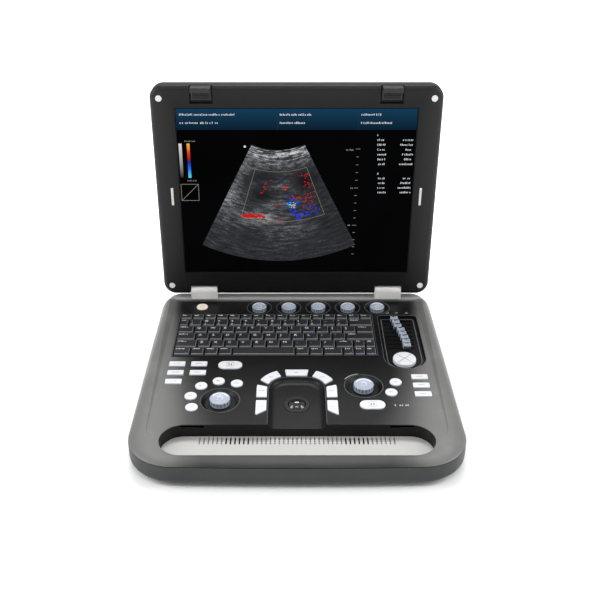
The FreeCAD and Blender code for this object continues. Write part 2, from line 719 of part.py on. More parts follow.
def latch(x):
    """A sliding latch: ribbed finger plate, guide tongue, and a hook that points at the base."""
    half = LATCH_W / 2
    plate = box(x - half, LID_FRONT + 0.4, 333.0, x + half, 160.9, 348.0)
    arm = box(x - half, LID_FRONT - 10.5, 347.4, x + half, 160.9, 350.4)
    tooth = box(x - half, LID_FRONT - 10.5, 343.9, x + half, LID_FRONT - 8.5, 348)
    tongue = box(x - 6, 160, 338.2, x + 6, 163.9, 347.9)
    body = fuse([plate, arm, tooth, tongue])
    body = body.makeFillet(0.8, edges_in_plane_y(body, LID_FRONT - 10.5))
    ribs = [box(x - half + 2, 150, z - 0.5, x + half - 2, LID_FRONT + 1.2, z + 0.5)
            for z in (334.8, 336.8, 338.8, 340.8, 342.8)]
    return cut(body, ribs)


# ---------------------------------------------------------------- keyboard
def keyboard_frame():
    x0, v0, x1, v1 = KEYBOARD
    outer = box(x0, v0, -6.0, x1, v1, 0.7)
    hollow = box(x0 + 1.3, v0 + 1.3, -4.0, x1 - 1.3, v1 - 1.3, 5)
    return to_panel(outer.cut(hollow))


def key_grid():
    """Every key as (row, x middle, v middle, width, depth)."""
    x0, v0, x1, v1 = KEYBOARD
    left = (x0 + x1) / 2 - 14.5 * KEY_UNIT / 2
    row_depth = (v1 - v0 - 3.0 - F_ROW_DEPTH) / 5
    v_top = v1 - 1.5
    keys = []
    for row, widths in enumerate(KEY_ROWS):
        depth = F_ROW_DEPTH if row == 0 else row_depth
        x = left
        for width in widths:
            span = width * KEY_UNIT
            keys.append((row, x + span / 2, v_top - depth / 2, span, depth))
            x += span
        v_top -= depth
    return keys


def keycap(x, v, width, depth):
    """A cap with drafted sides."""
    wires = []
    for inset, w in ((0.5, KEY_BOTTOM), (0.7, KEY_TOP - 1.6), (1.7, KEY_TOP)):
        half_w, half_d = width / 2 - inset, depth / 2 - inset
        shift = 0.35 if w == KEY_TOP else 0.0
        wires.append(Part.makePolygon([
            V(x - half_w, v - half_d + shift, w), V(x + half_w, v - half_d + shift, w),
            V(x + half_w, v + half_d + shift, w), V(x - half_w, v + half_d + shift, w),
            V(x - half_w, v - half_d + shift, w)]))
    return Part.makeLoft(wires, True, True)


def keycaps():
    return [to_panel(keycap(x, v, width, depth)) for row, x, v, width, depth in key_grid()]


# ---------------------------------------------------------------- buttons, knobs, sliders
def button(face, top=BUTTON_TOP):
    """Cap, retaining flange under the plate, and the stem over the switch."""
    cap = prism(face, -3.0, top)
    cap = cap.makeFillet(0.6, edges_at(cap, top))
    flange = prism(face.makeOffset2D(0.7), -4.0, -2.9)
    centre = face.CenterOfMass
    stem = rod(centre.x, centre.y, -5.0, -3.8, 1.8)
    return to_panel(fuse([cap, flange, stem]))


def knob(x, v, radius, top, flutes, depth):
    """A fluted knob with a dished top and a shaft for its encoder."""
    body = rod(x, v, -depth + 0.5, top, radius)
    body = body.makeChamfer(0.9, edges_at(body, top))
    dish = Part.makeSphere(radius * 3.0, V(x, v, top + radius * 3.0 - 0.7))
    grips = []
    for index in range(flutes):
        angle = 2 * math.pi * index / flutes
        gx = x + (radius + 0.45) * math.cos(angle)
        gv = v + (radius + 0.45) * math.sin(angle)
        grips.append(rod(gx, gv, -depth + 1.6, top + 1, 0.95))
    shaft = rod(x, v, -9.5, -depth + 1, KNOB_STEM_R)
    return to_panel(fuse([cut(body, [dish] + grips), shaft]))


def tgc_slider(index):
    """A saddle-shaped cap on a thin stem."""
    x, v = SLIDER_X[index], slider_v(index)
    cap = rectangle(x, v, 10.2, 7.6, 1.8)
    body = prism(cap, -TGC_DEPTH + 1.2, 2.4)
    body = body.makeFillet(1.2, edges_at(body, 2.4))
    saddle = Part.makeCylinder(4.6, 12, V(x, v - 6, 5.1), Y_AXIS)
    stem = box(x - 1.5, v - 0.6, -9.2, x + 1.5, v + 0.6, -TGC_DEPTH + 2)
    return to_panel(fuse([cut(body, [saddle]), stem]))


def nav_pad():
    """A round four-way rocker with a crossed groove, on a ball pivot."""
    x, v = NAV_PAD
    body = rod(x, v, -2.4, 2.4, NAV_PAD_R)
    body = body.makeFillet(1.2, edges_at(body, 2.4))
    grooves = []
    for angle in (45, 135):
        groove = box(-NAV_PAD_R, -0.5, 1.8, NAV_PAD_R, 0.5, 4)
        groove.rotate(V(0, 0, 0), Z_AXIS, angle)
        groove.translate(V(x, v, 0))
        grooves.append(groove)
    pivot = rod(x, v, -6.0, -2.2, 3.2)
    return to_panel(fuse([cut(body, grooves), pivot]))


def trackball():
    return to_panel(Part.makeSphere(BALL_R, V(0, BALL_V, BALL_W)))


def trackball_ring():
    """The ring that keeps the ball in its cup."""
    outer = rod(0, BALL_V, -8.4, -DISH_DEPTH + 0.7, BALL_OPENING + 4.8)
    outer = outer.makeFillet(0.6, edges_at(outer, -DISH_DEPTH + 0.7))
    hole = rod(0, BALL_V, -20, 0, BALL_OPENING)
    ball_room = Part.makeSphere(BALL_R + 0.35, V(0, BALL_V, BALL_W))
    return to_panel(cut(outer, [hole, ball_room]))


def trackball_cup():
    """The housing that carries the ball."""
    outer = rod(0, BALL_V, BALL_W - BALL_R - 1.8, -8.7, 15.4)
    ball_room = Part.makeSphere(BALL_R + 0.35, V(0, BALL_V, BALL_W))
    mouth = rod(0, BALL_V, BALL_W, 0, BALL_R + 0.35)
    return to_panel(cut(outer, [ball_room, mouth]))


def control_board():
    """The circuit board under the panel, with its encoders, slide controls and switches."""
    plate = box(-172, -98, BOARD_W - BOARD_T, 172, 146, BOARD_W)
    parts = [plate]
    stacks = []
    for x, v in [GAIN_KNOB, SELECT_KNOB] + MENU_KNOBS:
        parts.append(box(x - 6.2, v - 6.2, BOARD_W - 0.1, x + 6.2, v + 6.2, -6.2))
        stacks.append(rod(x, v, -12, 0, KNOB_STEM_R + RUN_FIT))
    for index in range(len(SLIDER_X)):
        v = slider_v(index)
        parts.append(box(113, v - 3.6, BOARD_W - 0.1, 160, v + 3.6, -7.0))
        stacks.append(box(TGC_SLOT[0] - 0.5, v - 0.9, -9.6, TGC_SLOT[1] + 0.5, v + 0.9, 0))
    for faces in button_faces().values():
        for face in faces:
            x, v = face.CenterOfMass.x, face.CenterOfMass.y
            parts.append(box(x - 3, v - 3, BOARD_W - 0.1, x + 3, v + 3, BOARD_W + SWITCH_H))
    parts.append(box(NAV_PAD[0] - 7, NAV_PAD[1] - 7, BOARD_W - 0.1,
                     NAV_PAD[0] + 7, NAV_PAD[1] + 7, -7.2))
    stacks.append(rod(0, BALL_V, -30, 0, 16.2))
    for sign in (-1, 1):
        x = sign * HINGE_X
        stacks.append(box(x - 15, 143, -30, x + 15, 175, 0))
    for x, y in SCREWS:
        stacks.append(rod(x, y, -40, 0, 5.0))
    return to_panel(cut(fuse(parts), stacks))


# ---------------------------------------------------------------- inside the base
def main_board():
    """Mother board: circuit board, chips, heat sink, and the rear ports."""
    board = box(36, 40, 13.0, 168, 160, 14.6)
    parts = [board]
    chips = [(70, 70, 24), (110, 66, 18), (146, 92, 16), (60, 112, 14), (146, 128, 14)]
    for x, y, size in chips:
        parts.append(box(x - size / 2, y - size / 2, 14.5, x + size / 2, y + size / 2, 17.0))
    parts.append(box(84, 100, 14.5, 128, 134, 19.0))
    for index in range(9):
        parts.append(box(84 + 5.2 * index, 100, 18.9, 86.2 + 5.2 * index, 134, 26.0))
    tools = []
    for x, z, width, height in PORTS:
        half_w, half_h = width / 2 + 1, height / 2 + 1
        parts.append(box(x - half_w, 158, z - half_h, x + half_w, BASE_BACK - 0.2, z + half_h))
        parts.append(box(x - 4, 158, 14.5, x + 4, 162, z))
        tools.append(box(x - width / 2, BASE_BACK - PORT_DEPTH, z - height / 2,
                         x + width / 2, 180, z + height / 2))
    x, z = DC_INLET
    parts.append(rod_y(158, BASE_BACK - 0.2, x, z, DC_R + 2))
    parts.append(box(x - 4, 157, 14.5, x + 4, 162, z))
    tools.append(rod_y(BASE_BACK - PORT_DEPTH, 180, x, z, DC_R))
    return cut(fuse(parts), tools)


def probe_sockets():
    """Two transducer sockets: shell, contact block and locking bar."""
    sockets = []
    for x in SOCKETS_X:
        half_w, half_h = SOCKET_W / 2, SOCKET_H / 2
        shell = box(x - half_w - 1.8, 150, SOCKET_Z - half_h - 1.8,
                    x + half_w + 1.8, BASE_BACK - 0.2, SOCKET_Z + half_h + 1.8)
        hollow = box(x - half_w, 158, SOCKET_Z - half_h, x + half_w, 180, SOCKET_Z + half_h)
        contact = box(x - half_w + 7, 157, SOCKET_Z - 3, x + half_w - 7, 169, SOCKET_Z + 3)
        sockets.append(fuse([shell.cut(hollow), contact]))
    return sockets


def battery_pack():
    body = box(-158, -92, 8.4, -60, 30, 25.0)
    body = body.makeFillet(3.0, [e for e in body.Edges if e.BoundBox.ZLength > 10])
    plug = box(-60.5, -28, 12, -55, -4, 20)
    return fuse([body, plug])


def fan_housing():
    x, y = FAN
    shell = box(x - 27, y - 27, 9.2, x + 27, y + 27, 23.0)
    hollow = rod(x, y, 11.0, 21.4, FAN_R + 1.5)
    outlet = box(x - 30, y - 20, 11.0, x, y + 20, 21.4)
    eye = rod(x, y, 5, 12, FAN_R - 5).fuse(rod(x, y, 21, 30, FAN_R - 5))
    spider = box(x - 26, y - 1.5, 9.2, x + 26, y + 1.5, 10.6)
    hub = rod(x, y, 9.2, 12.4, 4.0)
    body = fuse([cut(shell, [hollow, outlet, eye]), spider, hub])
    return cut(body, [rod(x, y, 5, 20, 1.5 + RUN_FIT)])


def fan_rotor():
    x, y = FAN
    hub = rod(x, y, 13.0, 20.6, 8.0)
    shaft = rod(x, y, 9.6, 14, 1.5)
    blades = []
    for index in range(11):
        blade = box(7.0, -0.6, 13.4, FAN_R, 0.6, 20.4)
        blade.rotate(V(FAN_R / 2, 0, 0), Z_AXIS, 18)
        blade.rotate(V(0, 0, 0), Z_AXIS, 360 * index / 11)
        blade.translate(V(x, y, 0))
        blades.append(blade)
    return fuse([hub, shaft] + blades)


def speakers():
    drivers = []
    for x in (-SPEAKER_X, SPEAKER_X):
        body = box(x - 20, -136, 8.2, x + 20, -116, 15.4)
        cone = Part.makeCone(3.0, 8.0, 2.2, V(x, -126, 13.3))
        drivers.append(cut(body, [cone]))
    return drivers


def rubber_feet():
    feet = []
    for x, y in FEET:
        foot = rod(x, y, 0, FOOT_H + 0.9, 8.0)
        feet.append(foot.makeFillet(1.2, edges_at(foot, 0)))
    return feet


def case_screws():
    screws = []
    for x, y in SCREWS:
        head = rod(x, y, 5.9, 8.1, 3.0)
        slot = box(x - 0.4, y - 1.8, 5, x + 0.4, y + 1.8, 6.8)
        cross = box(x - 1.8, y - 0.4, 5, x + 1.8, y + 0.4, 6.8)
        screws.append(cut(fuse([head, rod(x, y, 8, 26, 1.4)]), [slot, cross]))
    return screws


# ---------------------------------------------------------------- build
def main():
    export("bottom_case", [bottom_case()])
    export("top_case", [top_case()])
    export("tray_plate", [tray_plate()])
    export("hinge_knuckles", hinge_knuckles())
    export("keyboard_frame", [keyboard_frame()])
    export("control_board", [control_board()])
    export("main_board", [main_board()])
    export("probe_sockets", probe_sockets())
    export("battery_pack", [battery_pack()])
    export("fan_housing", [fan_housing()])
    export("trackball_cup", [trackball_cup()])
    export("trackball_ring", [trackball_ring()])
    export("speakers", speakers())
    export("rubber_feet", rubber_feet())
    export("case_screws", case_screws())

    export("display_bezel", [display_bezel()])
    export("display_back_cover", [display_back_cover()])
    export("lcd_module", [lcd_module()])
    export("bezel_bumpers", bezel_bumpers())
    export("hinge_arms", hinge_arms())
    export("latch_left", [latch(-LATCH_X)])
    export("latch_right", [latch(LATCH_X)])

    export("keycaps", keycaps())
    for name, faces in button_faces().items():
        export(name, [button(face) for face in faces])
    for index, (x, v) in enumerate(MENU_KNOBS):
        export(f"menu_knob_{index + 1}", [knob(x, v, MENU_KNOB_R, 3.4, 24, MENU_DISH[2])])
    export("gain_knob", [knob(*GAIN_KNOB, LARGE_KNOB_R, 4.0, 18, LARGE_DISH[2])])
    export("select_knob", [knob(*SELECT_KNOB, LARGE_KNOB_R, 4.0, 18, LARGE_DISH[2])])
    for index in range(len(SLIDER_X)):
        export(f"tgc_slider_{index + 1}", [tgc_slider(index)])
    export("nav_pad", [nav_pad()])
    export("trackball", [trackball()])
    export("fan_rotor", [fan_rotor()])


main()
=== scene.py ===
"""Looks of a portable ultrasound scanner: materials, screen picture, key legends, printed marks, and painted
highlights and shadows.

Metres, in the frame of the CAD model: +X is the operator's right, -Y the operator's side, +Z up.
Every place is worked out from the CAD nodes and joints, so the marks stay on their parts.
"""
import bpy
import json
import math
import random
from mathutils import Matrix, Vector

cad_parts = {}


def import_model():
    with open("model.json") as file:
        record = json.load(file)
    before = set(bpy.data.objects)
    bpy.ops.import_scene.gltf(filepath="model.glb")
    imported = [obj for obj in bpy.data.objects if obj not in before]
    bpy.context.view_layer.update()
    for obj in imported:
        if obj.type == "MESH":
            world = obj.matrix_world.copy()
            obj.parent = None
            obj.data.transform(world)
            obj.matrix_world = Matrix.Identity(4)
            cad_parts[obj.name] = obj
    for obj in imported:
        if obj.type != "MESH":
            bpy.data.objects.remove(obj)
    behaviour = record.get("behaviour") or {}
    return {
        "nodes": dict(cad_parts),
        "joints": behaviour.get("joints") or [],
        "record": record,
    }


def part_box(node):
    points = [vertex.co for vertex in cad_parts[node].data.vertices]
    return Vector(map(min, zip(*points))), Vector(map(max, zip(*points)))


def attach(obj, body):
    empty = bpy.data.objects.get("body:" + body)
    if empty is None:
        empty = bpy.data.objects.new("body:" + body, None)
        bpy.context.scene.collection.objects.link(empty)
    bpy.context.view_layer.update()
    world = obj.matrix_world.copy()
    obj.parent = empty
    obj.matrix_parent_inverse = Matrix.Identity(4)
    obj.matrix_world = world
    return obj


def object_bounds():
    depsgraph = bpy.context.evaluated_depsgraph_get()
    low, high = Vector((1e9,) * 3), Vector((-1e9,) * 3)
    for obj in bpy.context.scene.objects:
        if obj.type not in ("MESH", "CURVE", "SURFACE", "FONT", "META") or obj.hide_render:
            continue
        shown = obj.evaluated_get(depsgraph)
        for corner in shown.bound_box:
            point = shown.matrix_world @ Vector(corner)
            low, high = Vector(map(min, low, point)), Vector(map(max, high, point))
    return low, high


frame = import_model()
cad_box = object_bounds()
NODES = frame["nodes"]
MM = 0.001
X_AXIS = Vector((1, 0, 0))


# ---------------------------------------------------------------- procedural shaders
class Shader:
    """One procedural material, built up node by node."""

    def __init__(self, name):
        self.material = bpy.data.materials.new(name)
        self.material.use_nodes = True
        self.nodes = self.material.node_tree.nodes
        self.links = self.material.node_tree.links
        self.surface = self.nodes["Principled BSDF"]
        self.place = self.nodes.new("ShaderNodeTexCoord").outputs["Object"]

    def feed(self, value, socket):
        """Link an output to the socket, or write a plain number into it."""
        if isinstance(value, bpy.types.NodeSocket):
            self.links.new(value, socket)
        else:
            socket.default_value = value

    def math(self, operation, *values):
        node = self.nodes.new("ShaderNodeMath")
        node.operation = operation
        for value, socket in zip(values, node.inputs):
            self.feed(value, socket)
        return node.outputs[0]

    def product(self, first, *others):
        for other in others:
            first = self.math("MULTIPLY", first, other)
        return first

    def axis(self, name):
        """One coordinate of the place, in metres."""
        node = self.nodes.new("ShaderNodeSeparateXYZ")
        self.links.new(self.place, node.inputs[0])
        return node.outputs[name]

    def stretched(self, factors):
        node = self.nodes.new("ShaderNodeMapping")
        self.links.new(self.place, node.inputs["Vector"])
        node.inputs["Scale"].default_value = factors
        return node.outputs[0]

    def noise(self, scale, detail=3.0, roughness=0.55, vector=None):
        node = self.nodes.new("ShaderNodeTexNoise")
        self.links.new(vector or self.place, node.inputs["Vector"])
        node.inputs["Scale"].default_value = scale
        node.inputs["Detail"].default_value = detail
        node.inputs["Roughness"].default_value = roughness
        return node.outputs[0]

    def span(self, value, low, high, to_low=0.0, to_high=1.0, smooth=False):
        node = self.nodes.new("ShaderNodeMapRange")
        node.interpolation_type = "SMOOTHSTEP" if smooth else "LINEAR"
        sockets = (value, low, high, to_low, to_high)
        for source, name in zip(sockets, ("Value", "From Min", "From Max", "To Min", "To Max")):
            self.feed(source, node.inputs[name])
        return node.outputs[0]

    def ramp(self, value, *stops):
        """Colours along a value; each stop is (position, (r, g, b))."""
        node = self.nodes.new("ShaderNodeValToRGB")
        self.links.new(value, node.inputs[0])
        elements = node.color_ramp.elements
        while len(elements) < len(stops):
            elements.new(0.5)
        for element, (position, colour) in zip(elements, stops):
            element.position = position
            element.color = (*colour, 1.0)
        return node.outputs[0]

    def mix(self, share, first, second):
        node = self.nodes.new("ShaderNodeMix")
        node.data_type = "RGBA"
        self.feed(share, node.inputs[0])
        self.feed(first, node.inputs[6])
        self.feed(second, node.inputs[7])
        return node.outputs[2]

    def bump(self, height, depth):
        """Relief of the given depth in metres."""
        node = self.nodes.new("ShaderNodeBump")
        node.inputs["Strength"].default_value = 1.0
        node.inputs["Distance"].default_value = depth
        self.links.new(height, node.inputs["Height"])
        self.links.new(node.outputs[0], self.surface.inputs["Normal"])

    def set(self, **values):
        """Write plain values or outputs to the surface; underscores stand for spaces."""
        for name, value in values.items():
            self.feed(value, self.surface.inputs[name.replace("_", " ")])

    def glow(self, tint, strength, dark=0.95):
        """Light given off in the tint, from a surface that is nearly black itself."""
        self.set(Emission_Color=tint, Base_Color=self.mix(dark, tint, (0, 0, 0, 1)))
        self.set(Emission_Strength=strength, Roughness=0.5, Specular_IOR_Level=0.0)


def shade(colour, factor):
    return tuple(min(channel * factor, 1.0) for channel in colour)


def moulded(name, colour, roughness, grain=1500.0, depth=0.03 * MM, mottle=0.10,
            specular=0.5, coat=0.0):
    """Moulded plastic: faint flow mottling, uneven gloss and a fine spark-eroded grain."""
    shader = Shader(name)
    flow = shader.noise(24.0, detail=5.0)
    tint = shader.ramp(flow, (0.32, shade(colour, 1 - mottle)), (0.68, shade(colour, 1 + mottle)))
    gloss = shader.span(shader.noise(140.0), 0.35, 0.65, roughness - 0.05, roughness + 0.05)
    shader.bump(shader.noise(grain, detail=2.0), depth)
    shader.set(Base_Color=tint, Roughness=gloss)
    shader.set(Specular_IOR_Level=specular, Coat_Weight=coat)
    return shader.material


def smooth(name, colour, roughness=0.5):
    """Printed ink or a worn edge: the same plastic with hardly any grain."""
    return moulded(name, colour, roughness, depth=0.004 * MM)


def brushed(name, colour, roughness, metallic, along=(1.0, 60.0, 60.0)):
    """Metal with fine lines along one axis."""
    shader = Shader(name)
    lines = shader.noise(90.0, detail=4.0, vector=shader.stretched(along))
    tint = shader.ramp(lines, (0.25, shade(colour, 0.9)), (0.75, shade(colour, 1.08)))
    shader.bump(lines, 0.02 * MM)
    shader.set(Base_Color=tint, Roughness=shader.span(lines, 0.2, 0.8, roughness, roughness + 0.14))
    shader.set(Metallic=metallic)
    return shader.material


def metal_flake(name, colour, roughness, metallic):
    """Satin paint with a fine metallic sparkle."""
    shader = Shader(name)
    flake = shader.noise(2400.0, detail=1.0)
    tint = shader.ramp(flake, (0.35, shade(colour, 0.93)), (0.7, shade(colour, 1.06)))
    gloss = shader.span(shader.noise(60.0), 0.3, 0.7, roughness - 0.04, roughness + 0.05)
    shader.bump(flake, 0.01 * MM)
    shader.set(Base_Color=tint, Roughness=gloss, Metallic=metallic)
    return shader.material


# Where the top case's two-tone paint turns from silver at the rim to black on the panel; the soft fade is
# partly painted sheen of the light on the curved rim and lip.
FADE_FRONT_Y = -120 * MM
FADE_BACK_Y = 140 * MM
FADE_FRONT = (122 * MM, 42 * MM)       # distance from the middle, and half width of the fade
FADE_BACK = (165 * MM, 9 * MM)
LIP_PAINTED_SHEEN = (-172 * MM, -120 * MM)      # the painted sheen along the front lip
REAR_FADE = (157.2 * MM, 158.8 * MM)
RECESS_X = 153.2 * MM                  # the grip recess, whose walls are black
RECESS_Y = (-166.3 * MM, -114.1 * MM)
CREST = (43.13 * MM, 0.0538)           # height and slope of the rim round it
PANEL_FACE = (41.0 * MM, 0.04016)      # height and slope of the panel, whose hollows are black
WELLS_X = 166 * MM
MASK_EDGE = 0.3 * MM                   # how softly the black ends
PAINT_BLACK = (0.0050, 0.0050, 0.0053)
PAINT_SILVER = (0.142, 0.142, 0.138)
REAR_PAINTED_LIGHT = (0.40, 0.40, 0.39)        # the rear rim is painted a little lighter, as painted light


def paint_with_painted_sheen(name):
    """Two-tone paint of the top case, silver-grey rim and black centre, with a soft fade between them that is
    partly painted sheen of the light on the curved rim and front lip.
    """
    shader = Shader(name)
    x, y = shader.axis("X"), shader.axis("Y")
    side = shader.math("ABSOLUTE", x)
    ends = (y, FADE_FRONT_Y, FADE_BACK_Y)
    middle = shader.span(*ends, FADE_FRONT[0], FADE_BACK[0])
    reach = shader.span(*ends, FADE_FRONT[1], FADE_BACK[1])
    low, high = shader.math("SUBTRACT", middle, reach), shader.math("ADD", middle, reach)
    # painted sheen: the fade from silver at the sides and front lip towards the black middle stands in for
    # light on the curved surface
    sides = shader.span(side, low, high, smooth=True)
    lip_painted_sheen = shader.span(y, LIP_PAINTED_SHEEN[1], LIP_PAINTED_SHEEN[0], 0.0, 0.17, smooth=True)
    # painted light: the rear rim is painted lighter than the sides, for the light it catches
    rear_painted_light = shader.span(y, *REAR_FADE, smooth=True)
    sides = shader.math("MULTIPLY", shader.math("MAXIMUM", sides, lip_painted_sheen), 0.8)
    silver = shader.math("MAXIMUM", sides, rear_painted_light)
    drop = shader.math("SUBTRACT", shader.axis("Z"), shader.math("MULTIPLY", y, CREST[1]))
    wall = shader.product(shader.span(drop, CREST[0] - 1.8 * MM, CREST[0] - 1.0 * MM, 1.0, 0.0),
                          shader.span(y, RECESS_Y[0] - 0.4 * MM, RECESS_Y[0]),
                          shader.span(y, RECESS_Y[1], RECESS_Y[1] + MASK_EDGE, 1.0, 0.0),
                          shader.span(side, RECESS_X, RECESS_X + MASK_EDGE, 1.0, 0.0))
    fall = shader.math("SUBTRACT", shader.axis("Z"), shader.math("MULTIPLY", y, PANEL_FACE[1]))
    wells_front = RECESS_Y[1] + 1 * MM
    well = shader.product(shader.span(fall, PANEL_FACE[0] - 0.8 * MM, PANEL_FACE[0] - 0.4 * MM, 1.0, 0.0),
                          shader.span(side, WELLS_X, WELLS_X + MASK_EDGE, 1.0, 0.0),
                          shader.span(y, wells_front, wells_front + MASK_EDGE),
                          shader.span(y, REAR_FADE[0] - 1 * MM, REAR_FADE[0], 1.0, 0.0))
    hollow = shader.math("MAXIMUM", wall, well)
    silver = shader.math("MULTIPLY", silver, shader.math("SUBTRACT", 1.0, hollow))
    cloud = shader.span(shader.noise(30.0, detail=4.0), 0.3, 0.7, -0.02, 0.02)
    amount = shader.math("ADD", silver, cloud)
    tint = shader.ramp(amount, (0.0, PAINT_BLACK), (0.4, (0.052, 0.052, 0.051)),
                       (0.8, PAINT_SILVER), (1.0, REAR_PAINTED_LIGHT))
    flake = shader.noise(2600.0, detail=1.0)
    shader.bump(flake, 0.012 * MM)
    shader.set(Base_Color=tint, Roughness=shader.span(flake, 0.3, 0.7, 0.36, 0.44))
    shader.set(Metallic=0.12, Specular_IOR_Level=0.26)
    return shader.material


def bezel_with_painted_highlight(name):
    """Satin black frame round the display, with a painted highlight towards its outer edges and top for the
    light on its crowned edge, and darker towards its bottom.
    """
    shader = Shader(name)
    low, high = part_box("display_bezel")
    edge = shader.span(shader.math("ABSOLUTE", shader.axis("X")), 0.8 * high.x, high.x)
    top = shader.span(shader.axis("Z"), high.z - 42 * MM, high.z)
    bezel_highlight = shader.math("MAXIMUM", edge, shader.math("MULTIPLY", top, 0.5))
    base = shader.span(shader.axis("Z"), low.z, low.z + 60 * MM, 0.25, 1.0)
    amount = shader.math("MULTIPLY", bezel_highlight, base)
    tint = shader.ramp(amount, (0.0, (0.0030, 0.0030, 0.0033)), (1.0, (0.020, 0.020, 0.021)))
    shader.bump(shader.noise(1700.0, detail=2.0), 0.02 * MM)
    gloss = shader.span(shader.noise(110.0), 0.3, 0.7, 0.40, 0.50)
    shader.set(Base_Color=tint, Roughness=gloss, Specular_IOR_Level=0.16)
    return shader.material


def circuit(name):
    """Solder mask over copper tracks."""
    shader = Shader(name)
    tracks = shader.nodes.new("ShaderNodeTexBrick")
    shader.links.new(shader.place, tracks.inputs["Vector"])
    for socket, value in (("Scale", 160.0), ("Mortar Size", 0.03), ("Mortar Smooth", 0.1)):
        tracks.inputs[socket].default_value = value
    tracks.inputs["Color1"].default_value = (0.012, 0.09, 0.045, 1)
    tracks.inputs["Color2"].default_value = (0.016, 0.12, 0.06, 1)
    tracks.inputs["Mortar"].default_value = (0.05, 0.22, 0.10, 1)
    port = shader.span(shader.axis("Y"), 0.1555, 0.1560)
    tint = shader.mix(port, tracks.outputs["Color"], (0.10, 0.10, 0.105, 1))
    shader.bump(tracks.outputs["Fac"], 0.03 * MM)
    shader.set(Base_Color=tint, Roughness=0.35, Metallic=shader.math("MULTIPLY", port, 0.8))
    return shader.material


def lit(name, colour, strength, cloud=0.12, scale=900.0):
    """A patch of the screen's picture: it glows, and the panel's pixels ripple its brightness."""
    shader = Shader(name)
    pixels = shader.noise(scale, detail=2.0)
    tint = shader.ramp(pixels, (0.3, shade(colour, 1 - cloud)), (0.7, shade(colour, 1 + cloud)))
    shader.glow(tint, strength)
    return shader.material


def lit_blend(name, axis, low, high, strength, *stops):
    """A patch of the picture whose colour runs along one axis."""
    shader = Shader(name)
    tint = shader.ramp(shader.span(shader.axis(axis), low, high), *stops)
    shader.glow(tint, strength)
    return shader.material


FINISHES = {
    "case_dark": moulded("case_dark", (0.034, 0.035, 0.036), 0.46, specular=0.25),
    "case_top": paint_with_painted_sheen("case_top"),
    "tray_silver": brushed("tray_silver", (0.43, 0.42, 0.40), 0.42, 0.25),
    "hinge_silver": metal_flake("hinge_silver", (0.62, 0.61, 0.59), 0.42, 0.1),
    "keyboard_black": moulded("keyboard_black", (0.008, 0.008, 0.009), 0.5, specular=0.3),
    "key_black": moulded("key_black", (0.022, 0.022, 0.023), 0.38, grain=2600.0, depth=0.015 * MM),
    "circuit_board": circuit("circuit_board"),
    "socket_black": moulded("socket_black", (0.012, 0.012, 0.013), 0.4),
    "battery_grey": moulded("battery_grey", (0.055, 0.06, 0.065), 0.55),
    "rubber_black": moulded("rubber_black", (0.014, 0.014, 0.014), 0.78, grain=900.0, specular=0.25),
    "screw_steel": brushed("screw_steel", (0.42, 0.42, 0.43), 0.32, 0.95, (1.0, 1.0, 14.0)),
    "bezel_black": bezel_with_painted_highlight("bezel_black"),
    "lid_black": moulded("lid_black", (0.020, 0.020, 0.021), 0.42, grain=1300.0, mottle=0.14),
    "display": moulded("display", (0.002, 0.002, 0.0025), 0.22, depth=0.003 * MM, specular=0.1),
    "bumper_grey": moulded("bumper_grey", (0.56, 0.55, 0.52), 0.6, specular=0.3),
    "hinge_steel": brushed("hinge_steel", (0.45, 0.45, 0.45), 0.3, 0.9),
    "latch_black": moulded("latch_black", (0.012, 0.012, 0.013), 0.34, grain=1800.0, specular=0.3),
    "button_white": moulded("button_white", (0.62, 0.63, 0.65), 0.42, depth=0.012 * MM, mottle=0.03),
    "button_cream": moulded("button_cream", (0.80, 0.74, 0.62), 0.4, depth=0.012 * MM, mottle=0.04),
    "knob_blue": moulded("knob_blue", (0.34, 0.38, 0.455), 0.33, depth=0.015 * MM, mottle=0.06),
    "ball_black": moulded("ball_black", (0.010, 0.010, 0.011), 0.09, depth=0.002 * MM, coat=0.6),
    "fan_black": moulded("fan_black", (0.016, 0.016, 0.017), 0.5),
}


# ---------------------------------------------------------------- building pieces
def add_piece(name, mesh, body, materials):
    piece = bpy.data.objects.new(name, mesh)
    bpy.context.scene.collection.objects.link(piece)
    for material in materials:
        mesh.materials.append(material)
    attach(piece, body)
    return piece


class Plane:
    """A flat place on the object: point(u, v, w) is u across, v up and w out of it."""

    def __init__(self, origin, across, up, out):
        self.origin, self.across, self.up, self.out = origin, across, up, out

    def point(self, u, v, w=0.0):
        return self.origin + self.across * u + self.up * v + self.out * w


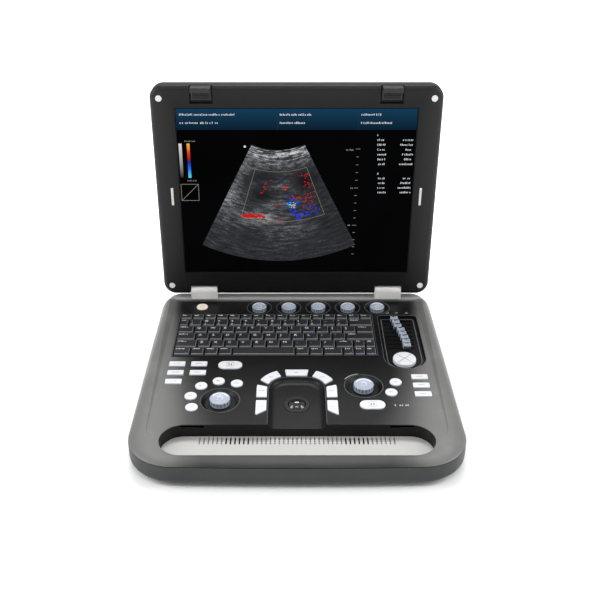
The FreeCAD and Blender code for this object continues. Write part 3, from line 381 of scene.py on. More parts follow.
class Plates:
    """Thin closed plates, drawn as polygons on a plane and gathered into one piece."""

    def __init__(self, plane, low=-0.02 * MM, high=0.06 * MM):
        self.plane, self.low, self.high = plane, low, high
        self.points, self.faces, self.kinds = [], [], []

    def polygon(self, corners, kind=0):
        """Corners run anticlockwise, seen from outside; kind picks one of the piece's materials."""
        start, count = len(self.points), len(corners)
        for w in (self.low, self.high):
            self.points += [self.plane.point(u, v, w) for u, v in corners]
        self.faces.append([start + count + i for i in range(count)])
        self.faces.append([start + count - 1 - i for i in range(count)])
        for i in range(count):
            j = (i + 1) % count
            self.faces.append([start + i, start + j, start + count + j, start + count + i])
        self.kinds += [kind] * (count + 2)

    def bar(self, u, v, width, height):
        """A rectangle with its middle at (u, v)."""
        a, b = width / 2, height / 2
        self.polygon([(u - a, v - b), (u + a, v - b), (u + a, v + b), (u - a, v + b)])

    def line(self, start, end, width):
        """A straight stroke."""
        along = Vector((end[0] - start[0], end[1] - start[1])).normalized()
        side = Vector((-along.y, along.x)) * width / 2
        first, last = Vector(start), Vector(end)
        self.polygon([first - side, last - side, last + side, first + side])

    def stroke(self, points, width, closed=False):
        """Straight strokes from each point to the next."""
        after = points[1:] + points[:1] if closed else points[1:]
        for start, end in zip(points, after):
            self.line(start, end, width)

    def disc(self, u, v, radius, kind=0, sides=24):
        angles = [2 * math.pi * i / sides for i in range(sides)]
        self.polygon([(u + radius * math.cos(a), v + radius * math.sin(a)) for a in angles], kind)

    def arc(self, centre, radius, start, end, width, steps=24):
        """A curved stroke; angles in degrees, anticlockwise from across."""
        inner, outer = radius - width / 2, radius + width / 2
        for i in range(steps):
            a = math.radians(start + (end - start) * i / steps)
            b = math.radians(start + (end - start) * (i + 1) / steps)
            ring = [(inner, a), (outer, a), (outer, b), (inner, b)]
            self.polygon([(centre[0] + r * math.cos(t), centre[1] + r * math.sin(t)) for r, t in ring])

    def on_screen(self, name, *materials):
        return self.piece(name, "lid", "display", *materials)

    def piece(self, name, body, slot, *materials):
        mesh = bpy.data.meshes.new(name)
        mesh.from_pydata(self.points, [], self.faces)
        mesh.polygons.foreach_set("material_index", self.kinds)
        mesh.update()
        return add_piece(name, mesh, body, materials)


def greeked(plates, u, v, width, height, rng):
    """A line of unreadable strokes that stands for small print."""
    cell, stroke = 0.78 * height, 0.2 * height
    place = u
    while place + 0.6 * cell < u + width:
        if rng.random() < 0.14:
            place += 0.55 * cell
            continue
        tall = height * rng.choice((0.68, 0.72, 1.0))
        middle = v + tall / 2
        plates.bar(place + stroke / 2, middle, stroke, tall)
        style = rng.randrange(4)
        if style:
            plates.bar(place + 0.48 * cell, middle, stroke, tall * (0.95 if style > 1 else 0.5))
        if style != 1:
            plates.bar(place + 0.33 * cell, v + stroke / 2, 0.4 * cell, stroke)
        if style != 2:
            plates.bar(place + 0.33 * cell, v + tall - stroke / 2, 0.4 * cell, stroke)
        place += cell


def lettering(items, plane, body, name, material):
    """Characters from the plain built-in font: items are (text, u, v, height)."""
    points, faces = [], []
    for text, u, v, height in items:
        curve = bpy.data.curves.new("glyph", "FONT")
        curve.body, curve.size, curve.resolution_u = text, height / 0.7, 2
        curve.extrude = 0.03 * MM
        source = bpy.data.objects.new("glyph", curve)
        glyph = bpy.data.meshes.new_from_object(source)
        start = len(points)
        points += [plane.point(u + p.co.x, v + p.co.y, p.co.z) for p in glyph.vertices]
        faces += [[start + i for i in face.vertices] for face in glyph.polygons]
        bpy.data.objects.remove(source)
        bpy.data.curves.remove(curve)
        bpy.data.meshes.remove(glyph)
    mesh = bpy.data.meshes.new(name)
    mesh.from_pydata(points, [], faces)
    mesh.update()
    return add_piece(name, mesh, body, [material])


# ---------------------------------------------------------------- places taken from the frame
def joint(name):
    return next(j for j in frame["joints"] if j["name"] == name)


def panel_plane():
    """The control panel: its knobs' joints stand on it, square to it."""
    turn = joint("gain_knob_turn")
    out, foot = Vector(turn["axis"]).normalized(), Vector(turn["pos_m"])
    height = foot.z + foot.y * out.y / out.z
    return Plane(Vector((0, 0, height)), X_AXIS, Vector((0, out.z, -out.y)), out)


def on_panel(point):
    """A frame point's (u, v, w) on the panel."""
    offset = Vector(point) - PANEL.origin
    return offset.dot(PANEL.across), offset.dot(PANEL.up), offset.dot(PANEL.out)


PANEL = panel_plane()


def panel_level(w, u=0, v=0):
    """The panel's plane, lifted by w, with its origin at (u, v)."""
    return Plane(PANEL.point(u, v, w), PANEL.across, PANEL.up, PANEL.out)


def middle_of(node):
    low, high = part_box(node)
    return on_panel((low + high) / 2)


GLASS_INSET = 6.0 * MM         # the module's metal frame shows this far beyond the glass
GLASS_INSET_TOP = 4.0 * MM
SCREEN_LIFT = 0.08 * MM        # one layer of the picture above the next


def screen_plane():
    low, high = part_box("lcd_module")
    middle_z = (low.z + GLASS_INSET + high.z - GLASS_INSET_TOP) / 2
    return Plane(Vector((0, low.y, middle_z)), X_AXIS, Vector((0, 0, 1)), Vector((0, -1, 0)))


SCREEN = screen_plane()
SCREEN_HALF_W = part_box("lcd_module")[1].x - GLASS_INSET
SCREEN_HALF_H = SCREEN_HALF_W * 0.75


def layer(index):
    """A thin layer of the screen's picture; a higher index lies in front."""
    low = SCREEN_LIFT * index
    return Plates(SCREEN, low, low + 0.5 * SCREEN_LIFT)


# ---------------------------------------------------------------- the screen's picture
WHITE_INK = lit("screen_white", (0.80, 0.83, 0.86), 0.85)
SCALE_INK = lit("screen_scale", (0.42, 0.42, 0.36), 0.7)
BOX_INK = lit("screen_box_line", (0.36, 0.33, 0.20), 0.6)
PRINT_H = 2.5 * MM
HEADER_H = 27.2 * MM
COLUMNS = (-151.0 * MM, -24.3 * MM, 78.4 * MM)      # left edge of each header cell
SETTINGS_TOP = 79.0 * MM
SETTINGS_LEFT, SETTINGS_RIGHT = 103.0 * MM, 150.0 * MM
LINE_PITCH, BLOCK_GAP = 6.45 * MM, 6.6 * MM


def screen_background():
    plates = layer(1)
    plates.bar(0, 0, 2 * SCREEN_HALF_W, 2 * SCREEN_HALF_H)
    black = lit("screen_black", (0.0028, 0.0029, 0.0034), 0.5, cloud=0.2, scale=14.0)
    plates.on_screen("screen_background", black)


def screen_header():
    top = SCREEN_HALF_H
    band = layer(2)
    band.bar(0, top - HEADER_H / 2, 2 * SCREEN_HALF_W, HEADER_H)
    low = SCREEN.origin.z + top - HEADER_H
    blue = lit_blend("screen_header", "Z", low, low + HEADER_H, 0.85,
                     (0.0, (0.0035, 0.016, 0.034)), (1.0, (0.009, 0.046, 0.100)))
    band.on_screen("screen_header", blue)
    lines = layer(3)
    for u in COLUMNS[1:]:
        lines.bar(u, top - HEADER_H / 2, 0.35 * MM, HEADER_H)
    edge = lit("screen_divider", (0.014, 0.05, 0.09), 0.8)
    lines.on_screen("screen_dividers", edge)


def screen_print():
    """Header cells and the column of settings, as unreadable strokes."""
    rng = random.Random(11)
    plates = layer(3)
    rows = (SCREEN_HALF_H - 8.7 * MM, SCREEN_HALF_H - 19.3 * MM)
    widths = ((72, 50), (40, 33), (25, 41))
    for left, pair in zip(COLUMNS, widths):
        for v, width in zip(rows, pair):
            greeked(plates, left + 3.2 * MM, v, width * MM, PRINT_H, rng)
    v = SETTINGS_TOP
    for block in (7, 5):
        for line in range(block):
            lean = (80.0 * MM - v) * 0.045
            greeked(plates, SETTINGS_LEFT + lean, v, (2.5 if line == 0 else 11) * MM, PRINT_H, rng)
            if line:
                width = rng.choice((11, 14, 17)) * MM
                greeked(plates, SETTINGS_RIGHT - width, v, width, PRINT_H, rng)
            v -= LINE_PITCH
        v -= BLOCK_GAP
    plates.on_screen("screen_print", WHITE_INK)


def colour_scales():
    """Grey and flow colour bars, with the grey map's curve below them."""
    grey, flow = layer(2), layer(2)
    top, bottom = 68.9 * MM, 22.8 * MM
    middle, height = (top + bottom) / 2, top - bottom
    grey.bar(-149.0 * MM, middle, 4.0 * MM, height)
    flow.bar(-138.7 * MM, middle, 3.8 * MM, height)
    low, high = SCREEN.origin.z + bottom, SCREEN.origin.z + top
    grey_map = lit_blend("scale_grey", "Z", low, high, 0.85,
                         (0.0, (0.01, 0.01, 0.01)), (1.0, (0.75, 0.75, 0.75)))
    flow_map = lit_blend("scale_flow", "Z", low, high, 0.9,
                         (0.0, (0.10, 0.75, 0.85)), (0.25, (0.02, 0.16, 0.85)), (0.48, (0.01, 0.02, 0.30)),
                         (0.52, (0.30, 0.01, 0.01)), (0.75, (0.80, 0.05, 0.02)), (1.0, (0.90, 0.48, 0.06)))
    grey.on_screen("scale_grey_bar", grey_map)
    flow.on_screen("scale_flow_bar", flow_map)
    rng = random.Random(5)
    marks = layer(2)
    for v in (71.2 * MM, 18.0 * MM):
        greeked(marks, -143.0 * MM, v, 14 * MM, 1.7 * MM, rng)
    left, low_v, size, width = -151.0 * MM, -8.9 * MM, 22.7 * MM, 0.45 * MM
    right, high_v = left + size, low_v + size
    ring = [(left, low_v), (right, low_v), (right, high_v), (left, high_v)]
    marks.stroke(ring, width, closed=True)
    marks.line(ring[0], ring[2], width)
    marks.on_screen("scale_marks", SCALE_INK)


SECTOR_APEX = (-23.5 * MM, 135.8 * MM)
SECTOR_R = (75.8 * MM, 233.0 * MM)
SECTOR_HALF = 26.4             # degrees each side of straight down
FLOW_BOX_R = (105.0 * MM, 175.0 * MM)
FLOW_BOX_ANGLE = (-16.6, 20.4)
# Echoes: place across and up the screen, reach across and up, brightness added.
ECHOES = [
    (-95, 0, 20, 30, 0.26), (-48, -34, 26, 9, 0.30), (-30, -14, 22, 7, 0.17), (-18, 10, 14, 4, 0.12),
    (-72, 35, 20, 9, 0.16), (-45, 25, 22, 8, -0.16), (-45, -2, 16, 12, -0.20), (10, 20, 14, 14, -0.22),
    (-30, -62, 40, 14, 0.06), (32, 10, 16, 40, -0.07), (50, -45, 22, 22, -0.05), (-90, -55, 25, 22, 0.03),
    (-60, -62, 22, 10, -0.09), (-5, -48, 30, 10, 0.10), (5, 56, 34, 4, 0.06),
]


def polar(angle, radius):
    """A point of the sector; the angle is in degrees from straight down, positive to the right."""
    a = math.radians(angle)
    return SECTOR_APEX[0] + radius * math.sin(a), SECTOR_APEX[1] - radius * math.cos(a)


def echo_at(u, v, depth):
    """Mean brightness of the tissue, before its speckle."""
    level = 0.31 - 0.09 * depth
    level += 0.28 * math.exp(-((depth - 0.05) / 0.045) ** 2)
    level += 0.10 * math.exp(-((depth - 0.13) / 0.03) ** 2)
    for place_u, place_v, reach_u, reach_v, gain in ECHOES:
        du, dv = (u / MM - place_u) / reach_u, (v / MM - place_v) / reach_v
        level += gain * math.exp(-du * du - dv * dv)
    return max(level, 0.03)


def tissue():
    """The speckled grey of the scan: layers near the probe, coarse speckle deeper down."""
    shader = Shader("screen_tissue")
    shader.place = shader.nodes.new("ShaderNodeUVMap").outputs[0]
    shader.place.node.uv_map = "polar"
    echo = shader.nodes.new("ShaderNodeAttribute")
    echo.attribute_name = "echo"
    fine = shader.noise(1.0, 3.0, 0.7, shader.stretched((75.0, 210.0, 1.0)))
    coarse = shader.noise(1.0, 2.0, 0.6, shader.stretched((11.0, 46.0, 1.0)))
    bands = shader.noise(1.0, 1.0, 0.5, shader.stretched((2.2, 95.0, 1.0)))
    depth = shader.axis("Y")
    near = shader.span(depth, 0.02, 0.16, 1.0, 0.0, smooth=True)
    layers = shader.math("MULTIPLY", near, shader.span(bands, 0.42, 0.62, -0.30, 0.36))
    grain = shader.math("MULTIPLY", shader.span(fine, 0.25, 0.75, 0.45, 1.6),
                        shader.span(coarse, 0.3, 0.7, 0.55, 1.4))
    level = shader.math("MULTIPLY", shader.math("ADD", echo.outputs["Fac"], layers), grain)
    tint = shader.ramp(level, (0.0, (0.003, 0.003, 0.004)), (0.30, (0.030, 0.032, 0.036)),
                       (0.6, (0.17, 0.175, 0.185)), (1.0, (0.62, 0.63, 0.65)))
    shader.glow(tint, 1.0, dark=0.85)
    return shader.material


def scan_sector():
    columns, rows = 96, 120
    points, faces, uvs, echoes = [], [], [], []
    for row in range(rows + 1):
        depth = row / rows
        radius = SECTOR_R[0] + depth * (SECTOR_R[1] - SECTOR_R[0])
        for column in range(columns + 1):
            across = column / columns
            u, v = polar((2 * across - 1) * SECTOR_HALF, radius)
            points.append(SCREEN.point(u, v, 2.5 * SCREEN_LIFT))
            uvs.append((across, depth))
            echoes.append(echo_at(u, v, depth))
    for row in range(rows):
        for column in range(columns):
            a = row * (columns + 1) + column
            faces.append((a, a + columns + 1, a + columns + 2, a + 1))
    mesh = bpy.data.meshes.new("scan_sector")
    mesh.from_pydata(points, [], faces)
    mapping = mesh.uv_layers.new(name="polar")
    for loop in mesh.loops:
        mapping.data[loop.index].uv = uvs[loop.vertex_index]
    mesh.attributes.new("echo", "FLOAT", "POINT").data.foreach_set("value", echoes)
    piece = add_piece("scan_sector", mesh, "lid", [tissue()])
    thick = piece.modifiers.new("thickness", "SOLIDIFY")
    thick.thickness = 0.5 * SCREEN_LIFT
    thick.offset = -1


def flow_box():
    """The outline of the colour window in the scan."""
    plates = layer(4)
    width = 0.5 * MM
    (near, far), (left, right) = FLOW_BOX_R, FLOW_BOX_ANGLE
    for angle in (left, right):
        plates.line(polar(angle, near), polar(angle, far), width)
    for radius in (near, far):
        plates.arc(SECTOR_APEX, radius, left - 90, right - 90, width)
    plates.on_screen("flow_box_line", BOX_INK)


# Flow patches: place in millimetres, spread across and up, number of specks, speck size, colour.
FLOWS = [
    ((-60, -31), (12, 2.0), 46, 3.0, 0), ((-41, 12), (2.2, 4), 5, 1.4, 0), ((-31.9, 18), (1, 1.5), 3, 1.2, 0),
    ((-13.6, 8), (2, 4), 6, 1.5, 0), ((-25.6, -15.5), (2.2, 1.2), 6, 1.5, 0), ((-45, 2), (2, 2), 3, 1.2, 0),
    ((-22, -38), (3, 1.5), 5, 1.3, 0), ((-20, 8), (22, 6), 10, 0.7, 0), ((-4, -13), (9, 9), 34, 1.5, 1),
    ((4, -30), (12, 7), 46, 1.6, 1), ((-6, -14), (4, 4), 12, 1.6, 2), ((-4, -16), (2.5, 2.5), 8, 1.5, 3),
    ((1, -5), (3.5, 3), 9, 1.5, 0), ((18, 0), (11, 20), 62, 1.1, 0), ((24, -24), (10, 9), 26, 1.1, 1),
    ((15, 26), (10, 6), 24, 1.2, 0), ((-55, 31), (3, 1.5), 4, 0.8, 1), ((-22, 22), (4, 6), 6, 0.6, 1),
    ((-43, 33), (6, 1), 6, 1.0, 0),
]


def in_flow_box(u, v):
    radius = math.hypot(u - SECTOR_APEX[0], v - SECTOR_APEX[1])
    angle = math.degrees(math.atan2(u - SECTOR_APEX[0], SECTOR_APEX[1] - v))
    return (FLOW_BOX_R[0] + MM < radius < FLOW_BOX_R[1] - MM
            and FLOW_BOX_ANGLE[0] + 0.3 < angle < FLOW_BOX_ANGLE[1] - 0.3)


def flow_specks():
    rng = random.Random(23)
    plates = layer(3)
    for (place_u, place_v), (reach_u, reach_v), count, size, kind in FLOWS:
        for _ in range(count):
            u = (place_u + rng.gauss(0, 0.6) * reach_u) * MM
            v = (place_v + rng.gauss(0, 0.6) * reach_v) * MM
            if not in_flow_box(u, v):
                continue
            half = 0.62 * size * rng.uniform(0.6, 1.3) * MM
            turns = [k + rng.uniform(-0.3, 0.3) for k in range(6)]
            radii = [half * rng.uniform(0.7, 1.3) for _ in range(6)]
            corners = [(u + 1.25 * r * math.cos(t), v + 0.85 * r * math.sin(t))
                       for r, t in zip(radii, turns)]
            plates.polygon(corners, kind)
    inks = {"flow_red": (0.62, 0.012, 0.012), "flow_blue": (0.015, 0.05, 0.80),
            "flow_cyan": (0.12, 0.62, 0.85), "flow_orange": (0.85, 0.34, 0.03)}
    materials = [lit(name, colour, 0.9, cloud=0.35) for name, colour in inks.items()]
    plates.on_screen("flow_specks", *materials)


def depth_scale():
    """Ticks down the right of the scan, three small numbers beside them, and the probe's mark."""
    plates = layer(2)
    top, pitch, count = 61.7 * MM, 10.6 * MM, 15
    for index in range(count):
        major = index % 5 == 0
        plates.bar(79.0 * MM - 0.15 * MM * index, top - pitch * index, (5.5 if major else 3.0) * MM, 0.5 * MM)
    rng = random.Random(8)
    for v, width in ((top - 2.2 * MM, 10), (top - 5 * pitch - 1 * MM, 3), (top - 10 * pitch - 1 * MM, 5)):
        greeked(plates, (74 - width) * MM, v, width * MM, 2.2 * MM, rng)
    plates.disc(-66.2 * MM, 64.9 * MM, 1.5 * MM, kind=1)
    plates.on_screen("depth_scale", SCALE_INK, WHITE_INK)


# ---------------------------------------------------------------- key legends
LEGEND_LIFT = 0.02 * MM
LETTER_ROWS = {2: "QWERTYUIOP[]", 3: "ASDFGHJKL;'", 4: "ZXCVBNM,./"}
DIGIT_ROW = "1234567890-="
DIGIT_SHIFTED = "!@#$%^&*()_+"
LETTER_H, DIGIT_H = 4.3 * MM, 3.3 * MM


def islands(node):
    """The points of each separate solid of a node, in panel coordinates."""
    mesh = NODES[node].data
    owner = {}

    def root(key):
        while owner[key] != key:
            owner[key] = owner[owner[key]]
            key = owner[key]
        return key

    spots = [tuple(round(c / (0.01 * MM)) for c in vertex.co) for vertex in mesh.vertices]
    for spot in spots:
        owner.setdefault(spot, spot)
    for face in mesh.polygons:
        first = root(spots[face.vertices[0]])
        for index in face.vertices[1:]:
            owner[root(spots[index])] = first
    solids = {}
    for vertex, spot in zip(mesh.vertices, spots):
        solids.setdefault(root(spot), []).append(on_panel(vertex.co))
    return list(solids.values())


def cap_boxes():
    """The top of every keycap, in rows from the back: (u low, v low, u high, v high, w)."""
    tops = []
    for points in islands("keycaps"):
        top = max(p[2] for p in points)
        flat = [p for p in points if p[2] > top - 0.1 * MM]
        us, vs = [p[0] for p in flat], [p[1] for p in flat]
        tops.append((min(us), min(vs), max(us), max(vs), top))
    tops.sort(key=lambda cap: -(cap[1] + cap[3]))
    rows, last = [], None
    for cap in tops:
        middle = (cap[1] + cap[3]) / 2
        if last is None or last - middle > 5 * MM:
            rows.append([])
        rows[-1].append(cap)
        last = middle
    return [sorted(row) for row in rows]


def word_mark(plates, cap, width, rng):
    """Unreadable strokes in the upper left corner of a cap."""
    u0, v0, _, v1, _ = cap
    height = min(2.4 * MM, 0.36 * (v1 - v0))
    greeked(plates, u0 + 1.1 * MM, v1 - 0.7 * MM - height, width, height, rng)


def key_legends():
    """White legends: plain letters and digits, and unreadable strokes for the named keys."""
    rng = random.Random(3)
    rows = cap_boxes()
    top = rows[0][0][4] + LEGEND_LIFT
    face = panel_level(top)
    items, words, blue = [], Plates(face), Plates(face)
    for row, caps in enumerate(rows):
        for column, cap in enumerate(caps):
            u0, v0, u1, v1, _ = cap
            width = u1 - u0
            if row == 0:
                word_mark(words, cap, 0.48 * width, rng)
            elif row == 1 and 1 <= column <= 12:
                left = u0 + 1.6 * MM
                items.append((DIGIT_ROW[column - 1], left, v0 + 1.2 * MM, DIGIT_H))
                items.append((DIGIT_SHIFTED[column - 1], left, v1 - 1.5 * MM - DIGIT_H, DIGIT_H))
            elif row in LETTER_ROWS and 1 <= column <= len(LETTER_ROWS[row]):
                letter = LETTER_ROWS[row][column - 1]
                items.append((letter, u0 + 1.8 * MM, v1 - 1.7 * MM - LETTER_H, LETTER_H))
            elif width < 60 * MM:
                word_mark(words, cap, min(0.6 * width, 12 * MM), rng)
            numbers_side = row in (1, 2, 3) and 7 <= column <= 11
            if numbers_side or (row == 5 and (column == 0 or column > 7)):
                greeked(blue, u1 - 5.2 * MM, v0 + 1.4 * MM, 4.2 * MM, 2.2 * MM, rng)
    # painted highlights: light grey strips along each cap's front edge and right side stand in for light on
    # the bevels
    edges = Plates(face, low=-0.25 * MM, high=0.01 * MM)
    for caps in rows:
        for u0, v0, u1, v1, _ in caps:
            edges.bar((u0 + u1) / 2, v0 + 0.2 * MM, u1 - u0, 0.8 * MM)
            edges.bar(u1 - 0.1 * MM, (v0 + v1) / 2, 0.34 * MM, v1 - v0 - 1.2 * MM)
    key_edge_highlight_grey = smooth("key_edge_painted_highlight", (0.30, 0.302, 0.31), 0.3)
    edges.piece("key_edge_highlights", "keycaps", "key_black", key_edge_highlight_grey)
    white = smooth("legend_white", (0.78, 0.79, 0.80))
    tinted = smooth("legend_blue", (0.10, 0.10, 0.62))
    lettering(items, face, "keycaps", "key_letters", white)
    words.piece("key_words", "keycaps", "key_black", white)
    blue.piece("key_second_marks", "keycaps", "key_black", tinted)
    frame_edge_highlight()


def frame_edge_highlight():
    """A painted highlight along the keyboard frame's thin edge, where its moulded lip catches the light."""
    low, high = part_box("keyboard_frame")
    u0, v0, _ = on_panel((low.x, low.y, low.z))
    u1, v1, w1 = on_panel((high.x, high.y, high.z))
    plates = Plates(panel_level(w1))
    inset, width = 0.65 * MM, 0.5 * MM
    middle_u, middle_v = (u0 + u1) / 2, (v0 + v1) / 2
    plates.bar(middle_u, v1 - inset, u1 - u0 - 2 * inset, width)
    for u in (u0 + inset, u1 - inset):
        plates.bar(u, middle_v, width, v1 - v0 - 3 * inset)
    grey = moulded("lip_painted_highlight", (0.12, 0.12, 0.125), 0.35, depth=0.01 * MM)
    plates.piece("keyboard_lip_highlight", "base", "keyboard_black", grey)


# ---------------------------------------------------------------- printed marks on the controls
INK_GREY = (0.17, 0.18, 0.20)
INK_HIGH = 0.03 * MM
MENU_KNOBS = [f"menu_knob_{i}" for i in range(1, 6)]


def knob_radius(name):
    low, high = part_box(name)
    return (high.x - low.x) / 2


def top_plane(node):
    """The flat top of a control, with its origin at the middle."""
    u, v, _ = middle_of(node)
    w = max(on_panel(vertex.co)[2] for vertex in NODES[node].data.vertices)
    return panel_level(w, u, v)


def knob_marks():
    """A raised arc on each knob's top, and a sunk ring at its middle."""
    light = moulded("knob_mark", (0.78, 0.82, 0.88), 0.35, depth=0.01 * MM)
    for name in ["gain_knob", "select_knob"] + MENU_KNOBS:
        radius = knob_radius(name)
        face = top_plane(name)
        plates = Plates(face, low=-0.30 * MM, high=0.10 * MM)
        plates.arc((0, 0), 0.76 * radius, 20, 160, 0.09 * radius, steps=18)
        dip = Plates(face, low=-0.75 * MM, high=-0.50 * MM)
        dip.arc((0, 0), 0.30 * radius, 200, 500, 0.05 * radius, steps=24)
        plates.piece(name + "_arc", name, "knob_blue", light)
        dip.piece(name + "_ring", name, "knob_blue", light)


def button_marks():
    """A small generic symbol on each white button."""
    ink = smooth("button_ink", INK_GREY)
    rng = random.Random(17)
    rounds = [f"left_button_{i}" for i in range(1, 6)] + ["right_button_1", "right_button_2"]
    for name in rounds:
        plates = Plates(top_plane(name), high=INK_HIGH)
        greeked(plates, -2.6 * MM, -1.0 * MM, 5.4 * MM, 1.9 * MM, rng)
        plates.piece(name + "_mark", name, "button_white", ink)
    for name in ("exam_button", "freeze_button"):
        plates = Plates(top_plane(name), high=INK_HIGH)
        for u in (-1.6 * MM, 1.6 * MM):
            plates.bar(u, 0, 1.3 * MM, 5.0 * MM)
        plates.arc((0, 0), 5.2 * MM, 15, 165, 0.5 * MM)
        plates.arc((0, 0), 5.2 * MM, 195, 345, 0.5 * MM)
        plates.piece(name + "_mark", name, "button_white", ink)
    for index in range(1, 8):
        name = f"arc_key_{index}"
        plates = Plates(top_plane(name), high=INK_HIGH)
        greeked(plates, -3.6 * MM, -0.9 * MM, 7.2 * MM, 1.8 * MM, rng)
        plates.piece(name + "_mark", name, "button_white", ink)
    power = Plates(top_plane("power_button"), high=INK_HIGH)
    power.arc((0, 0), 2.6 * MM, -235, 55, 0.55 * MM)
    power.bar(0, 2.0 * MM, 0.55 * MM, 2.8 * MM)
    warm = smooth("power_ink", (0.52, 0.38, 0.24))
    power.piece("power_mark", "power_button", "button_cream", warm)


def pad_middles(node):
    """The middle of each pad of a keypad, and the height of its top."""
    middles = []
    for points in islands(node):
        us, vs, ws = zip(*points)
        middles.append(((min(us) + max(us)) / 2, (min(vs) + max(vs)) / 2, max(ws)))
    return middles


def keypad_marks():
    """A short mark on each pad of the two keypads."""
    ink = smooth("pad_ink", INK_GREY)
    rng = random.Random(29)
    for name in ("left_keypad", "right_keypad"):
        middles = pad_middles(name)
        top = max(w for _, _, w in middles)
        plates = Plates(panel_level(top), high=INK_HIGH)
        for u, v, _ in middles:
            greeked(plates, u - 4.0 * MM, v - 0.9 * MM, 8.0 * MM, 1.8 * MM, rng)
        plates.piece(name + "_marks", name, "button_white", ink)


# ---------------------------------------------------------------- prints on the panel, and painted highlights and shadows round its controls
def knob_place(name):
    u, v, _ = on_panel(joint(name + "_turn")["pos_m"])
    return u, v


def panel_prints():
    """Generic icons printed on the panel: an arc, three small signs and one short line."""
    plates = Plates(PANEL, high=0.05 * MM)
    fine = 0.5 * MM
    plates.arc(knob_place("select_knob"), 26.2 * MM, 102, 146, 0.7 * MM)
    slider_u, slider_v, _ = middle_of("tgc_slider_1")
    v = slider_v + 15.6 * MM
    ring_u, steps_u, slope_u = (slider_u + offset * MM for offset in (-7.9, 4.8, 18.4))
    plates.arc((ring_u, v), 1.7 * MM, 0, 360, 0.45 * MM)
    plates.bar(steps_u, v, 3.6 * MM, fine)
    plates.bar(steps_u, v - 1.4 * MM, 2.4 * MM, fine)
    plates.line((slope_u - 1.7 * MM, v - 1.6 * MM), (slope_u + 1.7 * MM, v + 1.6 * MM), fine)
    plates.bar(slope_u + 0.2 * MM, v - 1.8 * MM, 3.8 * MM, fine)
    pill_u, pill_v, _ = middle_of("freeze_button")
    greeked(plates, pill_u + 23.0 * MM, pill_v - 1.6 * MM, 20.0 * MM, 3.4 * MM, random.Random(31))
    ink = smooth("panel_ink", (0.52, 0.53, 0.55))
    plates.piece("panel_prints", "base", "case_top", ink)


LARGE_RING = (23.2 * MM, 0.9 * MM)    # radius and width of the painted highlight ring on each dish's bead
MENU_RING = (17.0 * MM, 0.7 * MM)
BEAD_TOP = 0.62 * MM                  # above the panel's face


def dish_rings():
    """A glossy ring on the bead round each knob's dish, painted lighter grey as a painted highlight."""
    places = [("gain_knob", LARGE_RING), ("select_knob", LARGE_RING)]
    places += [(name, MENU_RING) for name in MENU_KNOBS]
    plates = Plates(PANEL, BEAD_TOP - 0.3 * MM, BEAD_TOP + 0.06 * MM)
    for name, (radius, width) in places:
        plates.arc(knob_place(name), radius, 0, 360, width, steps=72)
    dish_ring_highlight_grey = moulded("ring_painted_highlight", (0.085, 0.087, 0.092), 0.2, depth=0.003 * MM, coat=0.4)
    plates.piece("dish_rings", "base", "case_top", dish_ring_highlight_grey)


def quarter(u, v, radius, start):
    """Points along a quarter circle, anticlockwise from the start angle in degrees."""
    steps = 12
    angles = [math.radians(start + 90 * step / steps) for step in range(steps + 1)]
    return [(u + radius * math.cos(a), v + radius * math.sin(a)) for a in angles]


RECESS_U = (110.5 * MM, 164.0 * MM)
RECESS_V = (-5.0 * MM, 120.5 * MM)
RECESS_FRONT_R = 24.0 * MM
RECESS_BACK_R = 6.0 * MM
BEAD_BACK_R = 2.0 * MM
BEAD_INSET = 4.9 * MM
BEAD_LIFT = -3.7 * MM


def recess_path(inset, back):
    """The slider recess's outline, set in, with back corners of the given radius."""
    front = RECESS_FRONT_R - inset
    u0, u1 = RECESS_U[0] + inset, RECESS_U[1] - inset
    v0, v1 = RECESS_V[0] + inset, RECESS_V[1] - inset
    return (quarter(u1 - back, v1 - back, back, 0) + quarter(u0 + back, v1 - back, back, 90)
            + quarter(u0 + front, v0 + front, front, 180) + quarter(u1 - front, v0 + front, front, 270))


def recess_frame_highlight():
    """Painted highlights: light grey lines along the edge of the slider recess, and along the raised frame in
    its floor.
    """
    edge = smooth("recess_edge_highlight", (0.13, 0.132, 0.138), 0.3)
    for name, inset, back, lift, width in (("recess_frame_highlight", 0.0, RECESS_BACK_R, 0.0, 0.5 * MM),
                                           ("recess_bead_highlight", BEAD_INSET, BEAD_BACK_R, BEAD_LIFT, 1.1 * MM)):
        plates = Plates(PANEL, lift - 0.02 * MM, lift + 0.06 * MM)
        plates.stroke(recess_path(inset, back), width, closed=True)
        plates.piece(name, "base", "case_top", edge)


DISH_CORNER = (10.0 * MM, -47.0 * MM)       # middle of the right-hand corner's arc
DISH_R = 23.8 * MM
DISH_FRONT_V = -113.2 * MM


def dish_edge_highlight():
    """A painted highlight along the palm dish's edge, a glossy grey line lighter than the panel."""
    u, v = DISH_CORNER
    path = [(u + DISH_R, DISH_FRONT_V)] + quarter(u, v, DISH_R, 0)
    path += quarter(-u, v, DISH_R, 90) + [(-u - DISH_R, DISH_FRONT_V)]
    plates = Plates(PANEL, high=0.06 * MM)
    plates.stroke(path, 0.55 * MM)
    edge = moulded("dish_edge_painted_highlight", (0.10, 0.101, 0.105), 0.22, depth=0.003 * MM, coat=0.3)
    plates.piece("dish_edge_highlight", "base", "case_top", edge)


def pad_cross():
    """The crossed groove of the round pad, with a darker floor."""
    plates = Plates(top_plane("nav_pad"), low=-0.64 * MM, high=-0.50 * MM)
    reach = 9.2 * MM
    for side in (-1, 1):
        plates.line((-reach, -side * reach), (reach, side * reach), 0.86 * MM)
    grey = smooth("groove_grey", (0.16, 0.165, 0.175))
    plates.piece("nav_pad_cross", "nav_pad", "button_white", grey)


